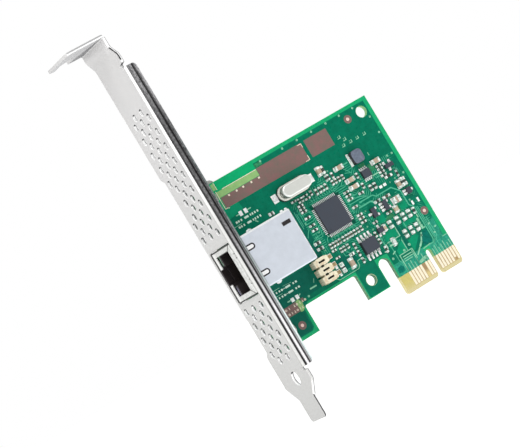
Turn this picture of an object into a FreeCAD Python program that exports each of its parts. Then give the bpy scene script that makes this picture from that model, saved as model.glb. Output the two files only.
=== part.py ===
"""Single-port network interface card for a one-lane edge connector.

A green circuit board stands upright behind a full-height steel slot bracket.  The board carries one
shielded modular jack that looks out through the bracket, a controller with its passives, a metal-can
crystal, and the gold contact fingers of the edge connector.

Frame: millimetres, +Z up.  The origin is the datum of the edge connector: the centre of the key notch,
at the lower edge of the fingers, in the middle of the board's thickness.  +X runs from the bracket
towards the far edge of the board, -Y is the component side, +Y the solder side.
"""
import FreeCAD, Part
import Sketcher
import math
import os

V = FreeCAD.Vector
doc = FreeCAD.newDocument("network_card")

# ---------------------------------------------------------------- driving dimensions
sheet = doc.addObject("Spreadsheet::Sheet", "Dims")
TABLE = [
    ("face_x", -58.06, "bracket outer face, from the key notch centre"),
    ("board_thick", 1.57, "circuit board thickness"),
    ("front_y", -0.785, "component face of the board"),
    ("back_y", 0.785, "solder face of the board"),
    ("board_left", 2.6, "board left edge, from the bracket face"),
    ("board_right", 66.21, "board right edge, from the bracket face"),
    ("board_top", 55.0, "board top edge above the finger edge"),
    ("belly_z", 12.6, "board lower edge between the legs"),
    ("leg_z", 4.6, "lower end of both legs"),
    ("key_wide", 1.9, "key notch width"),
    ("key_top", 8.2, "key notch height"),
    ("slot_top", 12.6, "top of the slot beside the connector"),
    ("finger_wide", 0.7, "contact finger width"),
    ("finger_pitch", 1.0, "contact finger pitch"),
    ("finger_low", 1.25, "lower end of a finger"),
    ("finger_high", 5.42, "upper end of a finger"),
    ("finger_thick", 0.05, "plated finger thickness"),
    ("sheet_t", 0.86, "bracket sheet thickness"),
    ("bracket_top", 104.33, "top face of the bracket flange"),
    ("bracket_low", -15.69, "lower end of the bracket tongue"),
    ("plate_wide", 18.42, "bracket plate width"),
    ("plate_back_y", 3.315, "bracket plate edge on the solder side"),
    ("inset_y", 1.645, "relieved bracket edge where the ears fold"),
    ("flange_deep", 11.43, "top flange depth"),
    ("rail_deep", 3.5, "stiffening rail depth"),
    ("rail_low", -0.9, "lower end of the rail"),
    ("rail_high", 93.3, "upper end of the rail"),
    ("vent_rad", 1.15, "vent hole radius"),
    ("vent_pitch", 4.52, "vent hole pitch along a column"),
    ("vent_col", 2.77, "vent column spacing"),
    ("wing_rad", 2.15, "hole radius in the lower wing"),
    ("notch_wide", 4.42, "screw notch width in the flange"),
    ("cut_low", 22.12, "jack cut-out lower edge"),
    ("cut_high", 38.2, "jack cut-out upper edge"),
    ("screw_rad", 1.45, "bracket screw thread radius"),
    ("screw_head_rad", 2.75, "bracket screw head radius"),
    ("screw_head_high", 1.9, "bracket screw head height"),
    ("corner_hole_rad", 1.72, "board corner hole radius"),
    ("leg_hole_rad", 1.6, "board leg hole radius"),
    ("jack_front", -0.25, "jack front face, from the bracket face"),
    ("jack_back", 21.0, "jack rear face, from the bracket face"),
    ("jack_low", 22.25, "jack lower side"),
    ("jack_high", 38.05, "jack upper side"),
    ("jack_tall", 13.2, "jack height above the board"),
    ("jack_wall", 0.25, "jack shield sheet thickness"),
    ("can_long", 9.9, "crystal can length"),
    ("can_wide", 3.7, "crystal can width"),
    ("can_high", 2.8, "crystal can height above its flange"),
    ("chip_body", 8.2, "controller body width"),
    ("chip_tall", 8.8, "controller body length"),
    ("chip_high", 0.85, "controller body height"),
    ("chip_pitch", 0.5, "controller land pitch"),
    ("flash_high", 1.5, "memory body height"),
    ("coil_high", 2.1, "power inductor height"),
    ("block_high", 2.8, "moulded block height"),
]
for i, (name, val, note) in enumerate(TABLE, start=1):
    sheet.set("A%d" % i, name)
    sheet.set("B%d" % i, repr(val))
    sheet.set("C%d" % i, note)
    sheet.setAlias("B%d" % i, name)
doc.recompute()
D = {name: float(val) for name, val, note in TABLE}
NODES = []


def ex(e):
    """Turn a number or an expression written with cell names into an expression string."""
    s = ("%.6g" % e) if isinstance(e, (int, float)) else e
    for name in sorted(D, key=len, reverse=True):
        s = s.replace("{" + name + "}", "Dims." + name)
    return s


def val(e):
    """Number of such an expression, for the places that take plain numbers."""
    if isinstance(e, (int, float)):
        return float(e)
    s = e
    for name in sorted(D, key=len, reverse=True):
        s = s.replace("{" + name + "}", "(%r)" % D[name])
    num = sheet_number(s)
    return num


def sheet_number(s):
    """Work out a sum, difference, product or quotient of plain numbers."""
    pos = [0]
    s = s.replace(" ", "")

    def atom():
        if s[pos[0]] == "(":
            pos[0] += 1
            v = add()
            pos[0] += 1
            return v
        if s[pos[0]] == "-":
            pos[0] += 1
            return -atom()
        j = pos[0]
        while pos[0] < len(s) and (s[pos[0]].isdigit() or s[pos[0]] == "."):
            pos[0] += 1
        return float(s[j:pos[0]])

    def mul():
        v = atom()
        while pos[0] < len(s) and s[pos[0]] in "*/":
            op = s[pos[0]]
            pos[0] += 1
            w = atom()
            v = v * w if op == "*" else v / w
        return v

    def add():
        v = mul()
        while pos[0] < len(s) and s[pos[0]] in "+-":
            op = s[pos[0]]
            pos[0] += 1
            w = mul()
            v = v + w if op == "+" else v - w
        return v

    return add()


def bind(obj, prop, e):
    obj.setExpression(prop, ex(e))


def node(obj, label):
    obj.Label = label
    NODES.append(obj)
    return obj


# x from the bracket's outer face, y from the board's component face (negative towards the viewer of
# the components) and z from the finger edge are the natural way to dimension a card
def px(x):
    return "{face_x} + (%s)" % x


def py(y):
    return "{front_y} + (%s)" % y


def box(name, x0, x1, y0, y1, z0, z1):
    o = doc.addObject("Part::Box", name)
    bind(o, "Length", "(%s) - (%s)" % (x1, x0))
    bind(o, "Width", "(%s) - (%s)" % (y1, y0))
    bind(o, "Height", "(%s) - (%s)" % (z1, z0))
    bind(o, "Placement.Base.x", px(x0))
    bind(o, "Placement.Base.y", py(y0))
    bind(o, "Placement.Base.z", z0)
    return o


def cyl(name, x, y, z, r, h, axis="y"):
    """Cylinder from (x, y, z) along +Y, or along +X or +Z."""
    o = doc.addObject("Part::Cylinder", name)
    bind(o, "Radius", r)
    bind(o, "Height", h)
    rot = {"y": FreeCAD.Rotation(V(1, 0, 0), -90), "x": FreeCAD.Rotation(V(0, 1, 0), 90),
           "z": FreeCAD.Rotation()}[axis]
    o.Placement = FreeCAD.Placement(V(0, 0, 0), rot)
    bind(o, "Placement.Base.x", px(x))
    bind(o, "Placement.Base.y", py(y))
    bind(o, "Placement.Base.z", z)
    return o


def prism(name, pts, plane, start, length):
    """Closed polygon pushed out by length.  plane 'xy' runs along +Z, 'yz' along +X, 'xz' along +Y."""
    vs = []
    for a, b in pts:
        a, b = val(a), val(b)
        if plane == "xy":
            vs.append(V(D["face_x"] + a, D["front_y"] + b, val(start)))
        elif plane == "yz":
            vs.append(V(D["face_x"] + val(start), D["front_y"] + a, b))
        else:
            vs.append(V(D["face_x"] + a, D["front_y"] + val(start), b))
    p = doc.addObject("Part::Polygon", name + "_line")
    p.Nodes = vs
    p.Close = True
    e = doc.addObject("Part::Extrusion", name)
    e.Base = p
    e.DirMode = "Custom"
    e.Dir = {"xy": V(0, 0, 1), "yz": V(1, 0, 0), "xz": V(0, 1, 0)}[plane]
    bind(e, "LengthFwd", length)
    e.Solid = True
    return e


def cut(name, base, tools):
    c = doc.addObject("Part::Cut", name)
    c.Base = base
    c.Tool = tools if not isinstance(tools, list) else group(name + "_tools", tools)
    return c


def fuse(name, objs):
    f = doc.addObject("Part::MultiFuse", name)
    f.Shapes = objs
    return f


def group(name, objs):
    g = doc.addObject("Part::Compound", name)
    g.Links = objs
    return g


# ---------------------------------------------------------------- sketch helpers
def plane_of(body, role):
    return [f for f in body.Origin.OriginFeatures if f.Role == role][0]


def new_sketch(body, name, role, offset=0):
    sk = body.newObject("Sketcher::SketchObject", name)
    sk.AttachmentSupport = [(plane_of(body, role), "")]
    sk.MapMode = "FlatFace"
    bind(sk, "AttachmentOffset.Base.z", offset)
    return sk


def place(sk, geo, pos, x, y):
    """Hold one point of a sketch element at x, y from the sketch origin."""
    for kind, axis, e in (("DistanceX", -2, x), ("DistanceY", -1, y)):
        v = val(e)
        if abs(v) < 1e-9:
            sk.addConstraint(Sketcher.Constraint("PointOnObject", geo, pos, axis))
        else:
            i = sk.addConstraint(Sketcher.Constraint(kind, -1, 1, geo, pos, v))
            if not isinstance(e, (int, float)):
                bind(sk, "Constraints[%d]" % i, e)


def poly(sk, pts):
    n = len(pts)
    xy = [(val(a), val(b)) for a, b in pts]
    base = sk.GeometryCount
    lines = [Part.LineSegment(V(xy[i][0], xy[i][1], 0), V(xy[(i + 1) % n][0], xy[(i + 1) % n][1], 0))
             for i in range(n)]
    sk.addGeometry(lines, False)
    for i in range(n):
        sk.addConstraint(Sketcher.Constraint("Coincident", base + i, 2, base + (i + 1) % n, 1))
    for i in range(n):
        place(sk, base + i, 1, pts[i][0], pts[i][1])


def circles(sk, items, r):
    first = None
    for x, y in items:
        g = sk.addGeometry(Part.Circle(V(val(x), val(y), 0), V(0, 0, 1), val(r)), False)
        place(sk, g, 3, x, y)
        if first is None:
            first = g
            i = sk.addConstraint(Sketcher.Constraint("Radius", g, val(r)))
            bind(sk, "Constraints[%d]" % i, r)
        else:
            sk.addConstraint(Sketcher.Constraint("Equal", first, g))


def pad(body, name, sk, length, rev=False, mid=False):
    p = body.newObject("PartDesign::Pad", name)
    p.Profile = sk
    bind(p, "Length", length)
    p.Reversed = rev
    if mid:
        p.SideType = "Symmetric"
    sk.Visibility = False
    doc.recompute()
    return p


def pocket(body, name, sk, length=None, rev=False):
    """Pocket of a given depth, or right through both ways.  It has to take material away."""
    before = body.Tip.Shape.Volume
    p = body.newObject("PartDesign::Pocket", name)
    p.Profile = sk
    if length is None:
        p.Type = "ThroughAll"
        p.SideType = "Symmetric"
    else:
        bind(p, "Length", length)
    p.Reversed = rev
    doc.recompute()
    after = p.Shape.Volume
    if not after < before - 1e-6:
        raise RuntimeError("pocket %s takes nothing away: %g -> %g" % (name, before, after))
    return p


def edges_where(shape, test):
    out = []
    for i, e in enumerate(shape.Edges, start=1):
        b = e.BoundBox
        if test(e, b):
            out.append("Edge%d" % i)
    return out


def fillet(body, name, radius, test):
    tip = body.Tip
    names = edges_where(tip.Shape, test)
    if not names:
        raise RuntimeError("no edge found for " + name)
    f = body.newObject("PartDesign::Fillet", name)
    f.Base = (tip, names)
    bind(f, "Radius", radius)
    doc.recompute()
    if f.Shape.isNull() or not f.Shape.isValid() or "Invalid" in f.State:
        raise RuntimeError("fillet failed: " + name)
    return f


def near(a, b, tol=0.02):
    return abs(a - b) < tol


# ================================================================ circuit board
board = doc.addObject("PartDesign::Body", "board")
sk = new_sketch(board, "board_outline", "XZ_Plane")
L, R = "{face_x} + {board_left}", "{face_x} + {board_right}"
kl, kr = "0 - {key_wide} / 2", "{key_wide} / 2"
poly(sk, [(L, "{board_top}"), (R, "{board_top}"), (R, 0), (kr, 0), (kr, "{key_top}"), (kl, "{key_top}"),
          (kl, 0), (-12.15, 0), (-12.15, "{slot_top}"), (-16.01, "{slot_top}"), (-16.01, "{leg_z}"),
          (-23.5, "{leg_z}"), (-23.5, "{belly_z}"), ("{face_x} + 16.25", "{belly_z}"),
          ("{face_x} + 16.25", "{leg_z}"), (L, "{leg_z}")])
pad(board, "board_pad", sk, "{board_thick}", mid=True)


def upright(e, b):
    return near(b.YLength, D["board_thick"]) and b.XLength < 0.01 and b.ZLength < 0.01


fillet(board, "key_round", "{key_wide} / 2 - 0.001",
       lambda e, b: upright(e, b) and near(b.ZMax, D["key_top"]) and abs(b.XMax) < 1.2)
fillet(board, "slot_round", 1.925,
       lambda e, b: upright(e, b) and near(b.ZMax, D["slot_top"]) and -16.2 < b.XMax < -12.0)
fillet(board, "finger_corners", 0.8,
       lambda e, b: upright(e, b) and near(b.ZMax, 0) and (near(b.XMax, -12.15) or near(b.XMax, 8.15)))
fillet(board, "key_corners", 0.75,
       lambda e, b: upright(e, b) and near(b.ZMax, 0) and near(abs(b.XMax), D["key_wide"] / 2))
fillet(board, "leg_inner_round", 0.8,
       lambda e, b: upright(e, b) and near(b.ZMax, D["belly_z"]) and near(b.XMax, -23.5))
fillet(board, "left_inner_round", 0.5,
       lambda e, b: upright(e, b) and near(b.ZMax, D["belly_z"]) and near(b.XMax, D["face_x"] + 16.25))
# bevel on both faces along the lower edge of the fingers
sk = new_sketch(board, "bevel", "YZ_Plane")
poly(sk, [("0 - {board_thick} / 2 - 0.2", -0.2), ("0 - {board_thick} / 2 + 0.40", -0.2),
          ("0 - {board_thick} / 2 + 0.36", 0), ("0 - {board_thick} / 2", 1.05),
          ("0 - {board_thick} / 2 - 0.2", 1.05)])
poly(sk, [("{board_thick} / 2 + 0.2", -0.2), ("{board_thick} / 2 + 0.2", 1.05), ("{board_thick} / 2", 1.05),
          ("{board_thick} / 2 - 0.36", 0), ("{board_thick} / 2 - 0.40", -0.2)])
pocket(board, "bevel_cut", sk)
# mounting holes, bracket screw holes, pegs and pins of the jack
SCREWS = [(7.3, 50.9), (7.3, 8.75)]
PEGS = [(8.9, 24.6), (8.9, 35.7)]
PINS = [(16.2, 25.07 + 2.54 * k) for k in range(5)] + [(18.74, 23.8 + 2.54 * k) for k in range(6)]
LED_PINS = [(3.7, 24.4), (3.7, 26.1), (3.7, 34.2), (3.7, 35.9)]
sk = new_sketch(board, "holes_corner", "XZ_Plane")
circles(sk, [("{face_x} + 62.7", 51.35)], "{corner_hole_rad}")
pocket(board, "hole_corner", sk)
sk = new_sketch(board, "holes_leg", "XZ_Plane")
circles(sk, [("{face_x} + 37.95", 9.05)], "{leg_hole_rad}")
pocket(board, "hole_leg", sk)
sk = new_sketch(board, "holes_screw", "XZ_Plane")
circles(sk, [("{face_x} + %g" % x, z) for x, z in SCREWS], "{screw_rad} + 0.15")
pocket(board, "hole_screw", sk)
sk = new_sketch(board, "holes_peg", "XZ_Plane")
circles(sk, [("{face_x} + %g" % x, z) for x, z in PEGS], 1.62)
pocket(board, "hole_peg", sk)
sk = new_sketch(board, "holes_pin", "XZ_Plane")
circles(sk, [("{face_x} + %g" % x, z) for x, z in PINS + LED_PINS], 0.45)
pocket(board, "hole_pin", sk)
TAILS = [(5.3, 6.8), (12.5, 14.1)]
sk = new_sketch(board, "slots_tail", "XZ_Plane")
for x0, x1 in TAILS:
    for z0 in ("{jack_low} - 0.3", "{jack_high} - 0.5"):
        poly(sk, [("{face_x} + %g" % (x0 - 0.2), z0), ("{face_x} + %g" % (x1 + 0.2), z0),
                  ("{face_x} + %g" % (x1 + 0.2), z0 + " + 0.8"), ("{face_x} + %g" % (x0 - 0.2), z0 + " + 0.8")])
pocket(board, "slot_tail", sk)
node(board, "circuit_board")

# ================================================================ edge connector fingers
items = []
for side in ("front", "back"):
    for n in range(1, 19):
        if side == "front" and n in (1, 2, 3, 9):
            continue
        off = (-11.5 + (n - 1)) if n <= 11 else (1.5 + (n - 12))
        low = "{finger_low}"
        if (side == "front" and n == 17) or (side == "back" and n == 1):
            low = "{finger_low} + 0.85"
        o = doc.addObject("Part::Box", "finger_%s_%02d" % (side, n))
        bind(o, "Length", "{finger_wide}")
        bind(o, "Width", "{finger_thick}")
        bind(o, "Height", "{finger_high} - (%s)" % low)
        bind(o, "Placement.Base.x", "%g * {finger_pitch} - {finger_wide} / 2" % off)
        bind(o, "Placement.Base.y", "{front_y} - {finger_thick}" if side == "front" else "{back_y}")
        bind(o, "Placement.Base.z", low)
        items.append(o)
node(group("fingers", items), "edge_contacts")

# ================================================================ bracket, folded from one sheet
br = doc.addObject("PartDesign::Body", "bracket_body")
t = "{sheet_t}"
PB = "{plate_back_y}"
PF = "{plate_back_y} - {plate_wide}"
TB, TF = "{plate_back_y} + 2.9", "{plate_back_y} + 2.9 - {plate_wide}"
sk = new_sketch(br, "plate_outline", "YZ_Plane", "{face_x}")
poly(sk, [(TF, "{bracket_top}"), (TB, "{bracket_top}"), (TB, 101.1), (PB, 97.7), (PB, 62.6),
          ("{inset_y}", 61.3), ("{inset_y}", 7.0), (PB, 5.6), (PB, -4.5), (PB + " - 4.1", -8.7),
          (PB + " - 4.1", "{bracket_low}"), (PB + " - 14.1", "{bracket_low}"), (PB + " - 14.1", -8.7),
          (PF, -4.6), (PF, "{rail_low} - 1.0"), (PF + " + 2.1", "{rail_low} - 0.7"), (PF + " + 2.1", "{rail_low}"),
          (PF, "{rail_low}"), (PF, "{rail_high}"), (PF + " + 2.1", "{rail_high}"),
          (PF + " + 2.1", "{rail_high} + 0.9"), (PF, "{rail_high} + 1.3"), (PF, 97.2), (TF, 100.3)])
pad(br, "plate", sk, t)


def flat_edge(e, b):
    return near(b.XLength, D["sheet_t"]) and b.YLength < 0.01 and b.ZLength < 0.01


pf, pb = D["plate_back_y"] - D["plate_wide"], D["plate_back_y"]
fillet(br, "tongue_round", 1.1, lambda e, b: flat_edge(e, b) and near(b.ZMax, D["bracket_low"]))
fillet(br, "bump_round", 1.6, lambda e, b: flat_edge(e, b) and near(b.ZMax, 97.2))
fillet(br, "step_round", 0.8,
       lambda e, b: flat_edge(e, b) and any(near(b.ZMax, z) for z in (101.1, 97.7, 62.6, 5.6, -4.5, -4.6, 100.3, -8.7)))
# jack cut-out, vents, hole in the lower wing
sk = new_sketch(br, "jack_cut", "YZ_Plane", "{face_x}")
poly(sk, [("{front_y} + 1.4", "{cut_low}"), ("{front_y} + 1.4", "{cut_high}"),
          ("{front_y} - {jack_tall} - 0.15", "{cut_high}"), ("{front_y} - {jack_tall} - 0.15", "{cut_low}")])
pocket(br, "jack_cutout", sk)
cols = ["{front_y} + 0.02 - %d * {vent_col}" % k for k in range(5)]      # E D C B A
vents = []
for k, c in enumerate(cols):
    odd = k in (1, 3)
    z0 = "80.56" if odd else "78.3"
    for r in range(9):
        if k == 0 and r in (5, 6):
            continue
        vents.append((c, "%s - %d * {vent_pitch}" % (z0, r)))
    z0 = "17.0" if odd else "19.25"
    for r in range(4):
        vents.append((c, "%s - %d * {vent_pitch}" % (z0, r)))
sk = new_sketch(br, "vent_holes", "YZ_Plane", "{face_x}")
circles(sk, vents, "{vent_rad}")
pocket(br, "vents", sk)
sk = new_sketch(br, "wing_hole", "YZ_Plane", "{face_x}")
circles(sk, [("{front_y} - 5.6", -2.9)], "{wing_rad}")
pocket(br, "wing_hole_cut", sk)
# stiffening rail folded back along the component-side edge
sk = new_sketch(br, "rail_outline", "XZ_Plane", "0 - (%s) - {sheet_t}" % PF)
poly(sk, [("{face_x}", "{rail_low}"), ("{face_x} + {rail_deep}", "{rail_low}"),
          ("{face_x} + {rail_deep}", "{rail_high}"), ("{face_x}", "{rail_high}")])
pad(br, "rail", sk, t)
fillet(br, "rail_corners", 1.2,
       lambda e, b: near(b.YLength, D["sheet_t"]) and b.XLength < 0.01 and b.ZLength < 0.01
       and near(b.XMax, D["face_x"] + D["rail_deep"]))
# crease pressed along the rail's outer face
sk = new_sketch(br, "crease_outline", "XY_Plane", "{rail_low} - 1")
poly(sk, [("{face_x} + 2.05", PF + " - 0.2"), ("{face_x} + 2.05", PF), ("{face_x} + 2.2", PF + " + 0.38"),
          ("{face_x} + 2.38", PF + " + 0.38"), ("{face_x} + 2.53", PF), ("{face_x} + 2.53", PF + " - 0.2")])
pocket(br, "crease", sk, "{rail_high} - {rail_low} + 2", rev=True)
# top flange, folded outwards
sk = new_sketch(br, "flange_outline", "XY_Plane", "{bracket_top} - {sheet_t}")
poly(sk, [("{face_x} + {sheet_t}", TF), ("{face_x} + {sheet_t}", TB), ("{face_x} - {flange_deep}", TB),
          ("{face_x} - {flange_deep}", TF)])
pad(br, "flange", sk, t)
fillet(br, "flange_corners", 1.5,
       lambda e, b: near(b.ZLength, D["sheet_t"]) and b.XLength < 0.01 and b.YLength < 0.01
       and near(b.XMax, D["face_x"] - D["flange_deep"]))
sk = new_sketch(br, "notch_outline", "XY_Plane", "{bracket_top} - {sheet_t}")
nx = "{face_x} - 6.9"
poly(sk, [(nx + " - {notch_wide} / 2", TB + " + 1"), (nx + " + {notch_wide} / 2", TB + " + 1"),
          (nx + " + {notch_wide} / 2", TB + " - 6.6"), (nx + " - {notch_wide} / 2", TB + " - 6.6")])
pocket(br, "notch", sk, None)
fillet(br, "notch_round", "{notch_wide} / 2 - 0.002",
       lambda e, b: near(b.ZLength, D["sheet_t"]) and b.XLength < 0.01 and b.YLength < 0.01
       and near(b.YMax, pb + 2.9 - 6.6))
# two ears folded behind the board, with tapped holes for the bracket screws
sk = new_sketch(br, "ears_outline", "XZ_Plane", "0 - {inset_y}")
poly(sk, [("{face_x}", 45.2), ("{face_x} + 12.55", 45.2), ("{face_x} + 12.55", 56.15), ("{face_x}", 56.15)])
poly(sk, [("{face_x}", 7.0), ("{face_x} + 12.3", 7.0), ("{face_x} + 12.3", 15.2), ("{face_x}", 15.2)])
pad(br, "ears", sk, "{inset_y} - {back_y}")
fillet(br, "ear_corners", 1.8,
       lambda e, b: near(b.YLength, D["inset_y"] - D["back_y"]) and b.XLength < 0.01 and b.ZLength < 0.01
       and b.XMax > D["face_x"] + 12)
sk = new_sketch(br, "ear_holes", "XZ_Plane", "0 - {inset_y}")
circles(sk, [("{face_x} + %g" % x, z) for x, z in SCREWS], "{screw_rad}")
pocket(br, "ear_taps", sk)
# bends
fillet(br, "bend_inner", 0.35,
       lambda e, b: b.YLength > 15 and near(b.XMax, D["face_x"]) and near(b.ZMax, D["bracket_top"] - D["sheet_t"]))
fillet(br, "bend_outer", 0.8,
       lambda e, b: b.ZLength > 50 and near(b.XMax, D["face_x"]) and near(b.YMax, pf))
fillet(br, "bend_top", 1.15,
       lambda e, b: b.YLength > 15 and near(b.XMax, D["face_x"] + D["sheet_t"]) and near(b.ZMax, D["bracket_top"]))
node(br, "bracket")

# ================================================================ bracket screws: turned pan heads
items = []
for k, (x, z) in enumerate(SCREWS):
    sb = doc.addObject("PartDesign::Body", "screw_%d" % k)
    sk = new_sketch(sb, "screw_profile_%d" % k, "XY_Plane")
    hr, hh = "{screw_head_rad}", "{screw_head_high}"
    poly(sk, [(0, "0 - " + hh), (hr + " * 0.62", "0 - " + hh), (hr + " * 0.93", "0 - " + hh + " * 0.62"),
              (hr, "0 - " + hh + " * 0.2"), (hr, 0), ("{screw_rad}", 0), ("{screw_rad}", 3.3),
              ("{screw_rad} - 0.35", 3.65), (0, 3.65)])
    rv = sb.newObject("PartDesign::Revolution", "screw_turn_%d" % k)
    rv.Profile = sk
    rv.ReferenceAxis = (sk, ["V_Axis"])
    rv.Angle = 360
    doc.recompute()
    sk = new_sketch(sb, "screw_cross_%d" % k, "XZ_Plane", hh)
    w, l = 0.34, 1.35
    poly(sk, [(-w, w), (-w, l), (w, l), (w, w), (l, w), (l, -w), (w, -w), (w, -l), (-w, -l), (-w, -w),
              (-l, -w), (-l, w)])
    pocket(sb, "screw_recess_%d" % k, sk, 1.1)
    sb.Placement = FreeCAD.Placement(V(0, 0, 0), FreeCAD.Rotation())
    bind(sb, "Placement.Base.x", px(x))
    bind(sb, "Placement.Base.y", "{front_y}")
    bind(sb, "Placement.Base.z", z)
    items.append(sb)
node(group("screws", items), "bracket_screws")

# ================================================================ jack shield: folded tinplate, open below
js = doc.addObject("PartDesign::Body", "shield_body")
jt = "{front_y} - {jack_tall}"
sk = new_sketch(js, "shield_block", "YZ_Plane", "{face_x} + {jack_front}")
poly(sk, [("{front_y} - 0.1", "{jack_low}"), ("{front_y} - 0.1", "{jack_high}"), (jt, "{jack_high}"), (jt, "{jack_low}")])
pad(js, "shield_pad", sk, "{jack_back} - {jack_front}")
fillet(js, "shield_folds", 0.45,
       lambda e, b: (near(b.YMax, D["front_y"] - D["jack_tall"]) and near(b.YMin, D["front_y"] - D["jack_tall"]))
       or (near(b.XMin, D["face_x"] + D["jack_back"]) and b.YLength > 10))
sk = new_sketch(js, "shield_hollow", "XZ_Plane", "0 - {front_y} + 0.1")
poly(sk, [("{face_x} + {jack_front} + {jack_wall}", "{jack_low} + {jack_wall}"),
          ("{face_x} + {jack_back} - {jack_wall}", "{jack_low} + {jack_wall}"),
          ("{face_x} + {jack_back} - {jack_wall}", "{jack_high} - {jack_wall}"),
          ("{face_x} + {jack_front} + {jack_wall}", "{jack_high} - {jack_wall}")])
pocket(js, "shield_hollow_cut", sk, "{jack_tall} - {jack_wall} - 0.1", rev=True)
# lips of the front wall that hang past the board's edge
sk = new_sketch(js, "lip_outline", "YZ_Plane", "{face_x} + {jack_front}")
poly(sk, [("{front_y} - 0.2", 22.6), ("{front_y} + 0.5", 22.6), ("{front_y} + 0.5", 37.8), ("{front_y} - 0.2", 37.8)])
pad(js, "lips", sk, "{jack_wall}")
# front opening: plug aperture, and the latch notch between two lips
sk = new_sketch(js, "shield_front", "YZ_Plane", "{face_x} + {jack_front} - 1")
poly(sk, [("{front_y} + 0.7", 27.8), ("{front_y} - 1.75", 27.8), ("{front_y} - 1.75", 24.0),
          ("{front_y} - 10.75", 24.0), ("{front_y} - 10.75", 36.4), ("{front_y} - 1.75", 36.4),
          ("{front_y} - 1.75", 32.8), ("{front_y} + 0.7", 32.8)])
pocket(js, "shield_front_cut", sk, 1.9, rev=True)
# mitre gaps between the folded front flaps
sk = new_sketch(js, "shield_mitres", "YZ_Plane", "{face_x} + {jack_front} - 1")
poly(sk, [("{front_y} - 10.7", 36.3), ("{front_y} - 12.85", 37.68), ("{front_y} - 12.75", 37.82), ("{front_y} - 10.6", 36.45)])
poly(sk, [("{front_y} - 10.7", 24.1), ("{front_y} - 12.85", 22.62), ("{front_y} - 12.75", 22.48), ("{front_y} - 10.6", 23.95)])
pocket(js, "shield_mitre_cut", sk, 1.27, rev=True)
# spring windows, with their cuts running over the front fold, and the rear latch window
sk = new_sketch(js, "shield_windows", "XZ_Plane", "0 - (%s) + 1" % jt)
for z0 in (25.35, 33.35):
    poly(sk, [("{face_x} - 1", z0), ("{face_x} + 5.9", z0), ("{face_x} + 6.35", z0 + 0.25), ("{face_x} + 6.55", z0 + 0.6),
              ("{face_x} + 6.55", z0 + 1.0), ("{face_x} + 6.35", z0 + 1.35), ("{face_x} + 5.9", z0 + 1.6),
              ("{face_x} - 1", z0 + 1.6), ("{face_x} - 1", z0 + 1.32), ("{face_x} + 5.8", z0 + 1.32),
              ("{face_x} + 6.1", z0 + 1.15), ("{face_x} + 6.25", z0 + 0.9), ("{face_x} + 6.25", z0 + 0.7),
              ("{face_x} + 6.1", z0 + 0.45), ("{face_x} + 5.8", z0 + 0.28), ("{face_x} - 1", z0 + 0.28)])
poly(sk, [("{face_x} + 16.75", 34.35), ("{face_x} + 19.65", 34.35), ("{face_x} + 19.65", 35.5), ("{face_x} + 16.75", 35.5)])
pocket(js, "shield_window_cut", sk, "1 + {jack_wall} + 0.02")
# four tails that pass through the board
sk = new_sketch(js, "tails", "XZ_Plane", "0 - {back_y} - 1.1")
for x0, x1 in TAILS:
    for z0 in ("{jack_low}", "{jack_high} - {jack_wall}"):
        poly(sk, [("{face_x} + %g" % x0, z0), ("{face_x} + %g" % x1, z0), ("{face_x} + %g" % x1, z0 + " + {jack_wall}"),
                  ("{face_x} + %g" % x0, z0 + " + {jack_wall}")])
pad(js, "tail_pads", sk, "{board_thick} + 1.1 + 1.2")
node(js, "jack_shield")

# ================================================================ jack insulator
W = "{jack_wall}"
hb = box("housing_block", "{jack_front} + " + W, "{jack_back} - " + W, "0 - {jack_tall} + " + W, -0.1,
         "{jack_low} + " + W, "{jack_high} - " + W)
tools = [
    box("plug_cavity", -1, 14.2, -10.85, -3.9, 24.1, 36.2),
    box("latch_channel", -1, 12.5, -4.0, -1.5, 27.1, 33.2),
    box("latch_notch", -1, 5.0, -1.6, -0.4, 28.0, 32.6),
    box("window_low", -1, 1.0, -3.2, -0.1, 23.4, 27.0),
    box("window_high", -1, 1.0, -3.2, -0.1, 33.3, 36.9),
    box("led_pocket_low", 0.9, 4.6, -2.5, -0.35, 23.65, 26.85),
    box("led_pocket_high", 0.9, 4.6, -2.5, -0.35, 33.45, 36.65),
    box("lamp_lead_way_low", 3.3, 4.1, -0.4, 1, 23.9, 26.6),
    box("lamp_lead_way_high", 3.3, 4.1, -0.4, 1, 33.7, 36.4),
    box("rear_room", 15.1, 20.35, -12.45, 1, 23.3, 37.0),
    box("contact_window", 14.0, 15.3, -10.85, -9.85, 26.1, 34.2),
]
tools += [box("foot_notch", -1, 1.9, -1.6, 0.4, 28.0, 32.6)]
foot = box("housing_foot", 0, 2.35, -0.1, 1.25, 22.55, 37.75)
hc = cut("housing_cut", fuse("housing_solid", [hb, foot]), tools)
pegs = [cyl("peg_%d" % k, x, -0.4, z, 1.55, 1.9) for k, (x, z) in enumerate(PEGS)]
node(fuse("housing", [hc] + pegs), "jack_housing")

# eight contact springs: along the roof of the cavity, round the front, and back down into the plug's path
items = []
for k in range(8):
    z = 30.15 + (k - 3.5) * 1.02
    c = [(15.6, -10.85), (3.2, -10.85), (2.75, -10.65), (2.65, -10.25), (2.85, -9.9), (9.6, -8.3), (9.65, -8.55),
         (3.3, -10.1), (3.15, -10.25), (3.35, -10.55), (15.6, -10.55)]
    items.append(prism("contact_%d" % k, c, "xy", z - 0.225, 0.45))
node(group("contacts", items), "jack_contacts")

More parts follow.
